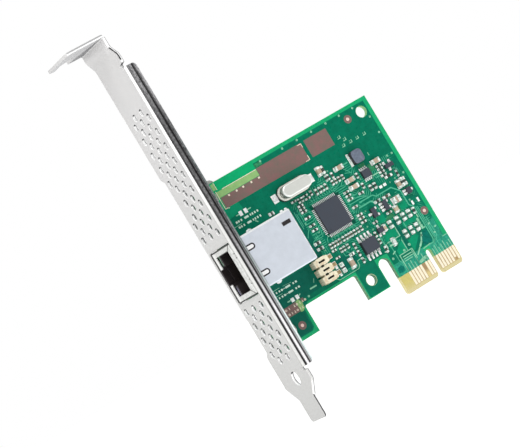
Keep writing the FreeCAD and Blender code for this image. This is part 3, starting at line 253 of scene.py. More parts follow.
def m_nickel():
    """Nickel-plated bracket sheet: satin face with painted shading (darker towards the bottom, painted shade under the
    flange), sheared edges and hole walls painted near-white as reflected light with painted shade in them, a painted
    highlight on the bend, and a polished rail folded along one side whose painted reflections go from dark and speckled
    at the top to bright ribs at the foot."""
    m = Mat("satin_nickel", rough=0.36, metal=0.75)
    x, y, z = m.xyz()
    u = m.math("SUBTRACT", x, FX)
    geo = m.n.new("ShaderNodeNewGeometry")
    sep = m.n.new("ShaderNodeSeparateXYZ")
    m.l.new(geo.outputs["Normal"], sep.inputs[0])
    nx, ny, nz = sep.outputs
    grain = m.noise(9.0, 3, 0.6, (1.0, 1.0, 0.10))
    cloud = m.noise(0.10, 3, 0.6)
    fleck = m.noise(3.4, 2, 0.6)
    face = m.mix(m.rng(grain, 0.3, 0.7, 0, 1), (0.728, 0.722, 0.718), (0.782, 0.775, 0.773))
    face = m.mix(m.rng(cloud, 0.35, 0.65, 0, 0.6), face, (0.79, 0.78, 0.77))
    face = m.mix(m.rng(z, 62, 40, 0, 1), face, m.mix(m.rng(fleck, 0.35, 0.65, 0, 1), (0.70, 0.70, 0.685), (0.80, 0.80, 0.785)))
    # painted shading: the face is darker towards the bottom, with a brighter band near the top
    painted_falloff = m.ramp(m.rng(z, -16.0, 105.0, 0, 1), [(0.0, 0.62), (0.10, 0.65), (0.20, 0.69), (0.30, 0.70), (0.62, 0.72), (0.84, 0.75), (0.945, 0.73), (0.965, 0.79), (1.0, 0.76)])
    face = m.mix(1.0, face, painted_falloff, "MULTIPLY")
    shade = m.math("MULTIPLY", m.rng(z, 101.6, 102.6, 0, 1), m.rng(y, -13.0, 3.0, 0.10, 1))
    shade = m.math("MULTIPLY", shade, m.rng(nx, -0.5, -0.8, 0, 1))
    face = m.mix(m.math("MULTIPLY", shade, 0.25), face, (0.30, 0.30, 0.305))
    # flange: pale underside with a darker painted shade band along the fold, front edge with a painted highlight line
    # in it
    fl = m.rng(z, 103.30, 103.42, 0, 1)
    edge = m.ramp(m.rng(z, 103.47, 104.33, 0, 1), [(0.0, 0.62), (0.12, 0.98), (0.40, 0.98), (0.54, 0.40), (1.0, 0.44)])
    k = m.math("MULTIPLY", fl, m.rng(ny, -0.5, -0.7, 0, 1))
    face = m.mix(k, face, edge)
    k = m.math("MULTIPLY", m.math("MULTIPLY", fl, m.rng(nz, -0.5, -0.7, 0, 1)), 1.0)
    fold = m.math("ADD", u, m.rng(y, -12.0, 4.0, 0.0, 4.6))
    face = m.mix(k, face, m.mix(m.rng(fold, -0.4, 0.4, 0, 1), (0.445, 0.445, 0.45), (0.22, 0.22, 0.225)))
    # sheared edges and hole walls: painted near-white as reflected light, with painted shade on downward-facing walls
    # by the cut-out, the far inner ends of the vent walls, the tongue's outer edge and the rim of the ear
    wall = m.math("MULTIPLY", m.between(u, 0.02, 0.845, 0.015), m.rng(m.math("ABSOLUTE", nx), 0.6, 0.4, 0, 1))
    off = m.math("MAXIMUM", m.rng(y, -14.45, -14.35, 0, 1), m.math("MAXIMUM", m.rng(z, 93.5, 93.6, 0, 1), m.rng(z, -0.95, -1.05, 0, 1)))
    wall = m.math("MULTIPLY", m.math("MULTIPLY", wall, off), m.rng(z, 103.3, 103.2, 0, 1))
    inside = m.math("MULTIPLY", m.rng(y, 1.6, 1.5, 0, 1), m.rng(z, -1.4, -1.2, 0, 1))
    end = m.math("MULTIPLY", m.rng(nz, -0.50, -0.80, 0, 1), inside)
    deep = m.math("MULTIPLY", m.rng(u, 0.50, 0.72, 0, 1), m.rng(z, 70.0, 56.0, 0.0, 1))
    deep = m.math("MAXIMUM", deep, m.rng(u, 0.68, 0.76, 0, 1))
    dark = m.math("MAXIMUM", end, m.math("MULTIPLY", deep, 0.9))
    tongue = m.math("MULTIPLY", m.rng(z, -8.6, -8.9, 0, 1), m.rng(u, 0.42, 0.30, 0, 1))
    crown = m.math("MULTIPLY", m.between(z, 95.4, 100.2, 0.1), m.rng(u, 0.55, 0.42, 0, 1))
    crown = m.math("MULTIPLY", crown, m.rng(m.noise(0.9, 2), 0.30, 0.45, 0.75, 1))
    dark = m.math("MULTIPLY", dark, m.rng(z, -8.9, -8.6, 0, 1))
    dark = m.math("MAXIMUM", dark, m.math("MAXIMUM", tongue, crown))
    walls = m.mix(dark, (0.97, 0.97, 0.965), (0.05, 0.05, 0.052))
    # rail: painted reflections, dark bands, speckles and bright ribs that change down its length
    def run(stops):
        return m.ramp(m.rng(u, 0.5, 3.5, 0, 1), [((a - 0.5) / 3.0, v) for a, v in stops])
    bands = [
        (88.0, run([(0.6, 0.14), (1.1, 0.17), (1.65, 0.24), (2.0, 0.18), (2.25, 0.06), (2.45, 0.04), (2.7, 0.12), (3.3, 0.34)])),
        (74.0, run([(0.6, 0.06), (0.9, 0.04), (1.4, 0.12), (1.8, 0.12), (2.1, 0.04), (2.45, 0.02), (2.7, 0.08), (3.3, 0.14)])),
        (46.0, run([(0.6, 0.06), (0.9, 0.03), (1.4, 0.12), (1.8, 0.14), (2.1, 0.04), (2.45, 0.02), (2.65, 0.10), (2.9, 0.03), (3.1, 0.16)])),
        (30.0, run([(0.6, 0.03), (1.1, 0.02), (1.35, 0.25), (1.55, 0.50), (1.85, 0.45), (2.1, 0.08), (2.45, 0.03), (2.65, 0.24), (2.9, 0.05), (3.1, 0.34)])),
        (10.0, run([(0.6, 0.03), (1.1, 0.02), (1.3, 0.40), (1.5, 0.95), (1.85, 0.90), (2.1, 0.20), (2.45, 0.05), (2.65, 0.45), (2.9, 0.25), (3.1, 0.85)])),
    ]
    rail = bands[0][1]
    for (z1, _), (z0, c) in zip(bands, bands[1:]):
        rail = m.mix(m.rng(z, z1, z0, 0, 1), rail, c)
    rail = m.mix(m.math("MULTIPLY", m.rng(u, 2.75, 3.0, 0, 1), m.rng(z, 78.0, 60.0, 0, 1)), rail, m.mix(1.0, rail, (0.88, 1.0, 0.97), "MULTIPLY"))
    reflection_streak = m.noise(1.5, 4, 0.7, (3.0, 1.0, 0.10))
    blot = m.noise(1.6, 4, 0.75, (1.6, 1.0, 0.8))
    amp = m.rng(z, 30.0, 50.0, 0.15, 0.70)
    rail = m.mix(amp, rail, m.mix(1.0, rail, m.rng(blot, 0.34, 0.66, 0.05, 2.3), "MULTIPLY"))
    rail = m.mix(0.5, rail, m.mix(1.0, rail, m.rng(reflection_streak, 0.3, 0.7, 0.70, 1.35), "MULTIPLY"))
    rail = m.mix(1.0, rail, (0.975, 0.965, 0.985), "MULTIPLY")
    mask = m.math("MULTIPLY", m.rng(y, -14.62, -14.70, 0, 1), m.rng(u, 0.56, 0.66, 0, 1))
    mask = m.math("MULTIPLY", mask, m.math("MULTIPLY", m.rng(z, 93.6, 93.5, 0, 1), m.rng(z, -1.1, -1.0, 0, 1)))
    # painted highlight on the bend: white high up, grey lower down
    bend = m.math("MULTIPLY", m.rng(y, -14.30, -14.42, 0, 1), m.rng(u, 0.66, 0.56, 0, 1))
    bend = m.math("MULTIPLY", m.math("MULTIPLY", bend, m.rng(u, 0.03, 0.15, 0, 1)), m.rng(z, 93.6, 93.5, 0, 1))
    c = m.mix(wall, face, walls)
    # painted shade: a dark line on the face where it turns into the bend, stronger lower down
    bend_line_shade = m.math("MULTIPLY", m.between(y, -14.32, -14.08, 0.06), m.between(z, -0.9, 93.3, 0.1))
    c = m.mix(m.math("MULTIPLY", bend_line_shade, m.rng(z, 70.0, 30.0, 0.30, 0.75)), c, (0.30, 0.29, 0.27))
    c = m.mix(bend, c, m.mix(m.rng(z, 62.0, 44.0, 0, 1), (1.0, 1.0, 0.99), (0.66, 0.66, 0.645)))
    c = m.mix(mask, c, rail)
    m.color(c)
    dull = m.math("MAXIMUM", m.math("MAXIMUM", wall, bend), m.math("MAXIMUM", mask, m.rng(z, 98.6, 100.4, 0, 0.9)))
    m.put(m.b.inputs["Metallic"], m.rng(dull, 0, 1, 0.35, 0.10))
    m.put(m.b.inputs["Specular IOR Level"], m.rng(dull, 0, 1, 0.5, 0.12))
    m.rough(m.math("ADD", m.rng(grain, 0.3, 0.7, 0.44, 0.54), m.rng(z, 96.0, 100.0, 0, 0.20)))
    m.bump(m.noise(14.0, 2, 0.5, (1, 1, 0.25)), 0.06, 0.00003)
    return m.m


def m_tin():
    """Tinplate of the jack's shield: cool, slightly dull, with fine drawing lines and shallow ripples; painted
    highlights on the spring tabs and the top's edges, painted shade in the tab cuts, beside the rail and round the
    folded front.
    """
    m = Mat("tinplate", rough=0.38, metal=0.45)
    x, y, z = m.xyz()
    c = mottled(m, (0.66, 0.705, 0.775), 0.045, 0.45, 4)
    fine = m.noise(6.0, 3, 0.6, (0.3, 1.0, 2.0))
    c = m.mix(m.rng(fine, 0.35, 0.65, 0.0, 0.10), c, (0.86, 0.89, 0.94))
    u = m.math("SUBTRACT", x, FX)
    # painted highlight: the two spring tabs near white
    tab = None
    for zc in (26.15, 34.15):
        k = m.math("MULTIPLY", m.between(z, zc - 0.52, zc + 0.52, 0.03), m.rng(u, 6.2, 6.15, 0, 1))
        tab = k if tab is None else m.math("MAXIMUM", tab, k)
    tab = m.math("MULTIPLY", tab, m.rng(y, -13.90, -13.95, 0, 1))
    c = m.mix(tab, c, (0.98, 0.98, 0.98))
    top = m.rng(y, -13.60, -13.68, 0, 1)
    # painted shadow of the rail: dark band on the shield top beside it
    c = m.mix(m.math("MULTIPLY", m.rng(u, 4.20, 3.95, 0, 0.92), top), c, (0.06, 0.065, 0.075))
    # painted highlight along the edges of the shield top
    rim = m.math("MAXIMUM", m.rng(z, 37.45, 37.62, 0, 1), m.math("MULTIPLY", m.rng(u, 20.45, 20.62, 0, 1), m.rng(m.noise(0.7, 2), 0.42, 0.55, 0.2, 1)))
    c = m.mix(m.math("MULTIPLY", rim, m.math("MULTIPLY", top, 0.85)), c, (0.99, 1.0, 1.0))
    # painted shade in the U cuts round the spring tabs
    for zc in (26.15, 34.15):
        du = m.math("MAXIMUM", m.math("SUBTRACT", u, 5.75), 0.0)
        dz = m.math("SUBTRACT", z, zc)
        r = m.math("SQRT", m.math("ADD", m.math("MULTIPLY", du, du), m.math("MULTIPLY", dz, dz)))
        c = m.mix(m.math("MULTIPLY", m.between(r, 0.50, 0.90, 0.03), top), c, (0.018, 0.020, 0.026))
    # folded front: duller and warmer, with painted shadow along the gap round its outline
    front = m.rng(u, 0.12, 0.08, 0, 1)
    blot = m.noise(1.1, 4, 0.65)
    lip = m.mix(m.rng(blot, 0.34, 0.64, 0, 1), (0.47, 0.48, 0.455), (0.68, 0.685, 0.67))
    lip = m.mix(m.rng(y, -3.0, -2.4, 0, 0.75), lip, (0.80, 0.80, 0.78))
    for z0, kz in ((36.37, 1.38), (24.03, -1.43)):
        d = m.math("ADD", m.math("MULTIPLY", m.math("SUBTRACT", y, FY - 10.7), kz / 2.52), m.math("MULTIPLY", m.math("SUBTRACT", z, z0), 2.1 / 2.52))
        d = m.math("MULTIPLY", m.rng(m.math("ABSOLUTE", d), 0.16, 0.10, 0, 0.9), m.rng(y, FY - 10.5, FY - 10.6, 0, 1))
        lip = m.mix(d, lip, (0.05, 0.05, 0.05))
    # painted shadow along the gap between the front and the bracket's cut-out
    gap = m.math("MAXIMUM", m.rng(z, 37.58, 37.66, 0, 1), m.math("MAXIMUM", m.rng(z, 22.70, 22.62, 0, 1), m.rng(y, -1.16, -1.06, 0, 1)))
    lip = m.mix(gap, lip, (0.025, 0.025, 0.022))
    c = m.mix(front, c, lip)
    m.color(c)
    m.rough(m.rng(fine, 0.3, 0.7, 0.34, 0.46))
    m.bump(m.noise(0.9, 3, 0.55, (0.7, 1, 1.3)), 0.22, 0.0001)
    return m.m


def m_mask(name, color, amount=0.10, rough=0.30, spec=0.10, scale=0.8):
    """Solder mask over laminate: glossy lacquer with slow tone changes and the weave just showing."""
    m = Mat(name, rough=rough, spec=spec)
    x, y, z = m.xyz()
    c = mottled(m, color, amount, scale, 4)
    wx = m.math("SINE", m.math("MULTIPLY", x, 11.0))
    wz = m.math("SINE", m.math("MULTIPLY", z, 11.0))
    weave = m.math("MULTIPLY", wx, wz)
    c = m.mix(m.rng(weave, -1, 1, 0.0, 0.10), c, scaled(color, 1.35))
    m.color(c)
    m.rough(m.rng(m.noise(1.3, 3), 0.3, 0.7, rough - 0.05, rough + 0.08))
    m.bump(weave, 0.05, 0.00002)
    return m.m


def m_routed(name, color):
    """Mask over routed copper: fine parallel runs that change heading from place to place, only among the small parts."""
    m = Mat(name, rough=0.30, spec=0.10)
    x, y, z = m.xyz()
    base = mottled(m, color, 0.12, 0.8, 4)
    cell = m.n.new("ShaderNodeTexVoronoi")
    cell.inputs["Scale"].default_value = 0.42
    m.l.new(m.co(), cell.inputs["Vector"])
    pick = m.n.new("ShaderNodeSeparateColor")
    m.l.new(cell.outputs["Color"], pick.inputs[0])
    r, g = pick.outputs[0], pick.outputs[1]
    diag = m.math("MULTIPLY", m.math("ADD", x, z), 0.7071)
    back = m.math("MULTIPLY", m.math("SUBTRACT", x, z), 0.7071)
    v = m.mix(m.rng(r, 0.249, 0.25, 0, 1), x, z)
    v = m.mix(m.rng(r, 0.549, 0.55, 0, 1), v, diag)
    v = m.mix(m.rng(r, 0.799, 0.80, 0, 1), v, back)
    run = m.math("SINE", m.math("MULTIPLY", v, 10.2))
    run = m.rng(run, 0.25, 0.70, 0, 1)
    on = m.rng(g, 0.30, 0.34, 0, 1)
    zone = m.math("MULTIPLY", m.between(x, -29.6, 5.8, 0.6), m.between(z, 13.9, 41.2, 0.5))
    zone = m.math("MULTIPLY", zone, m.math("MAXIMUM", m.rng(x, -6.0, -7.0, 0, 1), m.rng(z, 37.6, 37.0, 0, 1)))
    zone = m.math("MULTIPLY", zone, m.rng(m.noise(0.22, 2), 0.40, 0.52, 0.15, 1))
    k = m.math("MULTIPLY", m.math("MULTIPLY", run, on), zone)
    c = m.mix(m.math("MULTIPLY", k, 0.75), base, (0.075, 0.440, 0.265))
    m.color(c)
    m.rough(m.rng(m.noise(1.3, 3), 0.3, 0.7, 0.25, 0.38))
    m.bump(k, 0.12, 0.00002)
    return m.m


def m_laminate():
    """The board itself: bright mask where no copper lies under it, bare straw laminate by the fingers, sawn edges."""
    m = Mat("laminate", rough=0.34, spec=0.25)
    x, y, z = m.xyz()
    green = mottled(m, (0.004, 0.368, 0.142), 0.10, 0.7, 4)
    straw = mottled(m, (0.58, 0.50, 0.165), 0.10, 1.4, 4, (1, 1, 0.6))
    straw = m.mix(m.rng(z, 3.2, 0.0, 0.0, 0.55), straw, (0.70, 0.62, 0.42))
    bare = m.math("MULTIPLY", m.rng(z, 5.52, 5.42, 0, 1), m.rng(x, -12.4, -12.3, 0, 1))
    gap = m.math("MULTIPLY", m.between(x, -3.95, -3.05, 0.05), bare)
    comb = m.math("MULTIPLY", m.between(x, -8.9, 7.9, 0.05), m.rng(z, 1.0, 1.3, 0, 1))
    straw = m.mix(comb, straw, m.mix(m.rng(m.noise(0.8, 2), 0.35, 0.65, 0, 1), (0.43, 0.30, 0.13), (0.55, 0.42, 0.22)))
    straw = m.mix(gap, straw, m.mix(m.rng(z, 3.6, 2.4, 0, 1), (0.36, 0.24, 0.12), (0.66, 0.54, 0.24)))
    face = m.mix(bare, green, straw)
    ply = m.math("SINE", m.math("MULTIPLY", y, 24.0))
    edge = m.mix(m.rng(ply, -1, 1, 0, 1), (0.10, 0.34, 0.13), (0.30, 0.52, 0.26))
    edge = m.mix(m.rng(m.noise(5.0, 3), 0.35, 0.65, 0.0, 0.5), edge, (0.50, 0.56, 0.30))
    leg = m.math("MULTIPLY", m.between(x, -24.5, -11.0, 0.1), m.rng(z, 13.4, 13.2, 0, 1))
    edge = m.mix(leg, edge, m.mix(m.rng(m.noise(1.5, 3), 0.35, 0.65, 0, 1), (0.05, 0.14, 0.075), (0.18, 0.32, 0.19)))
    edge = m.mix(bare, edge, (0.62, 0.55, 0.30))
    rim = m.math("MULTIPLY", m.rng(y, -0.765, -0.755, 0, 1), m.rng(y, 0.765, 0.755, 0, 1))
    m.color(m.mix(rim, face, edge))
    m.rough(m.mix(rim, 0.34, 0.75))
    m.bump(m.noise(6.0, 3), 0.10, 0.00003)
    return m.m


def m_gold():
    m = Mat("finger_gold", rough=0.32, metal=0.30)
    c = mottled(m, (0.97, 0.89, 0.68), 0.04, 1.6, 3)
    wipe = m.noise(5.0, 3, 0.6, (2.2, 1, 0.18))
    c = m.mix(m.rng(wipe, 0.45, 0.75, 0, 0.5), c, (0.99, 0.95, 0.82))
    m.color(c)
    m.rough(m.rng(wipe, 0.3, 0.7, 0.26, 0.42))
    m.bump(wipe, 0.10, 0.00003)
    return m.m


def m_solder(name="solder", color=(0.84, 0.90, 0.86), rough=0.34, metal=0.25):
    m = Mat(name, rough=rough, metal=metal)
    n = m.noise(3.2, 3, 0.6)
    c = m.mix(m.rng(n, 0.35, 0.65, 0, 1), scaled(color, 0.80), scaled(color, 1.18))
    m.color(c)
    m.rough(m.rng(n, 0.3, 0.7, rough - 0.06, rough + 0.12))
    m.bump(m.noise(6.5, 3, 0.6), 0.30, 0.00006)
    return m.m


def m_plain(name, color, rough=0.5, metal=0.0, spec=0.5, amount=0.08, scale=2.0, bump=0.08, bscale=12.0, stretch=None):
    m = Mat(name, rough=rough, metal=metal, spec=spec)
    m.color(mottled(m, color, amount, scale, 4, stretch))
    m.rough(m.rng(m.noise(scale * 1.7, 3), 0.3, 0.7, rough - 0.05, rough + 0.07))
    m.bump(m.noise(bscale, 2, 0.5, stretch), bump, 0.00004)
    return m.m


def m_epoxy():
    """Moulded epoxy packages: fine matt grain, slightly polished high spots, and side walls painted darker than the top
    as shade.
    """
    m = Mat("epoxy", rough=0.5, spec=0.35)
    g = m.noise(16.0, 2, 0.6)
    c = m.mix(m.rng(g, 0.3, 0.7, 0, 1), (0.038, 0.046, 0.062), (0.056, 0.067, 0.088))
    c = m.mix(m.rng(m.noise(0.5, 3), 0.35, 0.65, 0, 0.5), c, (0.050, 0.054, 0.070))
    geo = m.n.new("ShaderNodeNewGeometry")
    sep = m.n.new("ShaderNodeSeparateXYZ")
    m.l.new(geo.outputs["Normal"], sep.inputs[0])
    # painted shade: side walls darker than the top
    c = m.mix(m.rng(sep.outputs[1], -0.8, -0.5, 0, 0.75), c, (0.012, 0.013, 0.016))
    m.color(c)
    m.rough(m.rng(g, 0.3, 0.7, 0.46, 0.60))
    m.bump(g, 0.14, 0.00004)
    return m.m


def m_silk(name, color, thin=0.25):
    """Screen print: matt ink, a little thin in places."""
    m = Mat(name, rough=0.7, spec=0.2)
    n = m.noise(4.5, 4, 0.6)
    m.color(m.mix(m.rng(n, 0.3, 0.65, thin, 0.0), color, (0.10, 0.42, 0.28)))
    m.bump(n, 0.08, 0.00002)
    return m.m


def m_brown():
    """Matt brown label field: print over bare copper, reddish patches."""
    m = Mat("brown_field", rough=0.62, spec=0.2)
    n = m.noise(0.55, 5, 0.65)
    c = m.mix(m.rng(n, 0.36, 0.62, 0, 1), (0.165, 0.125, 0.105), (0.225, 0.115, 0.110))
    f = m.noise(5.0, 3)
    c = m.mix(m.rng(f, 0.3, 0.7, 0, 0.35), c, (0.215, 0.160, 0.140))
    m.color(c)
    m.bump(f, 0.12, 0.00003)
    return m.m


def m_can():
    """Drawn can: bright even metal, a painted highlight line at the rim, painted dark reflections on the left of the
    wall, faint scratches across.
    """
    m = Mat("can_steel", rough=0.30, metal=0.35)
    x, y, z = m.xyz()
    n = m.noise(3.0, 3, 0.6, (0.25, 1, 1.4))
    c = m.mix(m.rng(n, 0.3, 0.7, 0, 1), (0.60, 0.615, 0.565), (0.665, 0.680, 0.630))
    # painted highlight line at the rim
    c = m.mix(m.between(y, -4.66, -4.30, 0.05), c, (0.99, 0.99, 0.95))
    # painted dark reflections on the left of the wall
    wall = m.math("MULTIPLY", m.rng(y, -4.28, -4.18, 0, 1), m.rng(y, -1.95, -2.02, 0, 1))
    left = m.rng(x, -27.0, -31.0, 0, 1)
    reflection_streak = m.rng(m.noise(1.3, 3, 0.6), 0.42, 0.55, 0.0, 1.0)
    c = m.mix(wall, c, m.mix(m.math("MULTIPLY", left, reflection_streak), (0.60, 0.60, 0.55), (0.05, 0.045, 0.035)))
    c = m.mix(m.rng(y, -1.98, -1.90, 0, 1), c, (0.93, 0.92, 0.84))
    m.color(c)
    m.rough(m.rng(n, 0.3, 0.7, 0.28, 0.38))
    m.bump(m.noise(2.2, 3), 0.04, 0.00005)
    return m.m


# ================================================================== dressing the CAD nodes
def dress(node, mat):
    me = NODES[node].data
    me.materials.clear()
    me.materials.append(mat)


# ================================================================== thin layers and solder, in mesh code
def pt(X, Z, h, side):
    """Board coordinates (X from the bracket face, Z from the finger edge, h above the board face) to metres."""
    return Vector(((FX + X) * MM, (FY - h if side < 0 else BY + h) * MM, Z * MM))


class Layer:
    """One thin printed, plated or soldered layer: many small closed solids in one mesh."""

    def __init__(self, name, mat, slot, h0=0.0, h1=0.02, side=-1):
        self.name, self.mat, self.slot, self.h0, self.h1, self.side = name, mat, slot, h0, h1, side
        self.bm = bmesh.new()

    def slab(self, loops, h0=None, h1=None):
        h0 = self.h0 if h0 is None else h0
        h1 = self.h1 if h1 is None else h1
        tris = tessellate_polygon([[Vector((a, b, 0)) for a, b in lp] for lp in loops])
        flat = [p for lp in loops for p in lp]
        lo = [self.bm.verts.new(pt(a, b, h0, self.side)) for a, b in flat]
        hi = [self.bm.verts.new(pt(a, b, h1, self.side)) for a, b in flat]
        for t in tris:
            for vs in ((hi[t[0]], hi[t[1]], hi[t[2]]), (lo[t[2]], lo[t[1]], lo[t[0]])):
                try:
                    self.bm.faces.new(vs)
                except ValueError:
                    pass
        k = 0
        for lp in loops:
            n = len(lp)
            for i in range(n):
                a, b = k + i, k + (i + 1) % n
                self.bm.faces.new((lo[a], lo[b], hi[b], hi[a]))
            k += n

    def rect(self, x0, x1, z0, z1, **kw):
        self.slab([[(x0, z0), (x1, z0), (x1, z1), (x0, z1)]], **kw)

    def pad(self, cx, cz, w, d, **kw):
        self.rect(cx - w / 2, cx + w / 2, cz - d / 2, cz + d / 2, **kw)

    def disc(self, cx, cz, r, n=18, **kw):
        self.slab([circle(cx, cz, r, n)], **kw)

    def ring(self, cx, cz, r0, r1, n=22, **kw):
        self.slab([circle(cx, cz, r1, n), circle(cx, cz, r0, n)[::-1]], **kw)

    def line(self, pts, w, **kw):
        self.slab([stroke(pts, w)], **kw)

    def loft(self, rings):
        """Stack of equal-length rings of (X, Z, h): closed solid with a flat bottom and top."""
        vs = [[self.bm.verts.new(pt(a, b, h, self.side)) for a, b, h in r] for r in rings]
        n = len(vs[0])
        for r0, r1 in zip(vs, vs[1:]):
            for i in range(n):
                self.bm.faces.new((r0[i], r0[(i + 1) % n], r1[(i + 1) % n], r1[i]))
        self.bm.faces.new(vs[0][::-1])
        self.bm.faces.new(vs[-1])

    def blob(self, cx, cz, rx, rz, h, n=14, steps=5, lean=0.0):
        rings = []
        for s in range(steps):
            a = (s + 0.0) / steps * math.pi / 2
            k, hh = math.cos(a) ** 0.8, math.sin(a) * h
            rings.append([(cx + lean * hh + rx * k * math.cos(t), cz + rz * k * math.sin(t), hh + self.h0)
                          for t in (2 * math.pi * i / n for i in range(n))])
        self.loft(rings)

    def fillet(self, inner, outer, h, steps=4):
        """Solder climbing from the pad (outer box) to a foot (inner box), with a hollow profile."""
        rings = []
        for s in range(steps + 1):
            f = s / steps
            k = (1 - f) ** 2.2
            b = [i + (o - i) * k for i, o in zip(inner, outer)]
            hh = self.h0 + 0.02 + h * f
            rings.append(rounded(b[0], b[1], b[2], b[3], 0.25 * min(b[1] - b[0], b[3] - b[2]), hh))
        self.loft(rings)

    def done(self, smooth=None):
        bmesh.ops.recalc_face_normals(self.bm, faces=self.bm.faces[:])
        me = bpy.data.meshes.new(self.name)
        self.bm.to_mesh(me)
        self.bm.free()
        if smooth is not None:
            me.polygons.foreach_set("use_smooth", [True] * len(me.polygons))
            me.set_sharp_from_angle(angle=math.radians(smooth))
        o = bpy.data.objects.new(self.name, me)
        me.materials.append(self.mat)
        bpy.context.scene.collection.objects.link(o)
        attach(o, "root")
        return o


def circle(cx, cz, r, n=18, a0=0.0):
    return [(cx + r * math.cos(a0 + 2 * math.pi * i / n), cz + r * math.sin(a0 + 2 * math.pi * i / n)) for i in range(n)]


def rounded(x0, x1, z0, z1, r, h):
    out = []
    for cx, cz, a in ((x1 - r, z1 - r, 0), (x0 + r, z1 - r, 90), (x0 + r, z0 + r, 180), (x1 - r, z0 + r, 270)):
        for k in range(3):
            t = math.radians(a + 45 * k)
            out.append((cx + r * math.cos(t), cz + r * math.sin(t), h))
    return out


def stroke(pts, w):
    """Outline of a polyline of width w with mitred corners and round ends."""
    r = w / 2
    P = [Vector(p) for p in pts]
    dirs = [(b - a).normalized() for a, b in zip(P, P[1:])]
    left, right = [], []
    for i, p in enumerate(P):
        d0 = dirs[max(0, i - 1)]
        d1 = dirs[min(len(dirs) - 1, i)]
        n0, n1 = Vector((-d0.y, d0.x)), Vector((-d1.y, d1.x))
        m = n0 + n1
        m = m / max(1e-6, m.length)
        k = r / max(0.45, m.dot(n0))
        left.append(p + m * k)
        right.append(p - m * k)
    cap = []
    for p, d, s in ((P[-1], dirs[-1], 1), (P[0], -dirs[0], 1)):
        n = Vector((-d.y, d.x))
        cap.append([p + (n * math.cos(t) + d * math.sin(t)) * r for t in (math.radians(a) for a in (45, 90, 135))])
    out = left[:-1] + [left[-1]] + cap[0] + right[::-1] + cap[1]
    return [(v.x, v.y) for v in out]


def islands(node):
    """Boxes of a node's separate solids in board coordinates: (x0, x1, y0, y1, z0, z1) and the part that
    reaches the board face on the component side."""
    import numpy as np
    me = NODES[node].data
    n = len(me.vertices)
    co = np.empty(n * 3)
    me.vertices.foreach_get("co", co)
    co = co.reshape(n, 3) * 1000.0
    mw = np.array(NODES[node].matrix_world)
    co = co @ mw[:3, :3].T + mw[:3, 3] * 1000.0
    key = {}
    idx = np.empty(n, int)
    for i, c in enumerate(np.round(co, 3)):
        idx[i] = key.setdefault(tuple(c), len(key))
    parent = list(range(len(key)))

    def find(a):
        while parent[a] != a:
            parent[a] = parent[parent[a]]
            a = parent[a]
        return a

    for p in me.polygons:
        v = [idx[j] for j in p.vertices]
        a = find(v[0])
        for b in v[1:]:
            b = find(b)
            if a != b:
                parent[b] = a
    groups = {}
    for i in range(n):
        groups.setdefault(find(idx[i]), []).append(i)
    out = []
    for g in groups.values():
        c = co[g]
        foot = c[c[:, 1] > FY - 0.16]
        if len(foot) < 3:
            foot = None
        else:
            foot = (foot[:, 0].min() - FX, foot[:, 0].max() - FX, foot[:, 2].min(), foot[:, 2].max())
        out.append(((c[:, 0].min() - FX, c[:, 0].max() - FX, c[:, 1].min(), c[:, 1].max(), c[:, 2].min(), c[:, 2].max()), foot))
    return out


# ================================================================== colours of the print
TEAL = (0.0006, 0.158, 0.088)
GREEN = (0.004, 0.372, 0.142)
TRACE = (0.080, 0.430, 0.265)
PALE = (0.250, 0.560, 0.370)
SILK = (0.66, 0.80, 0.68)


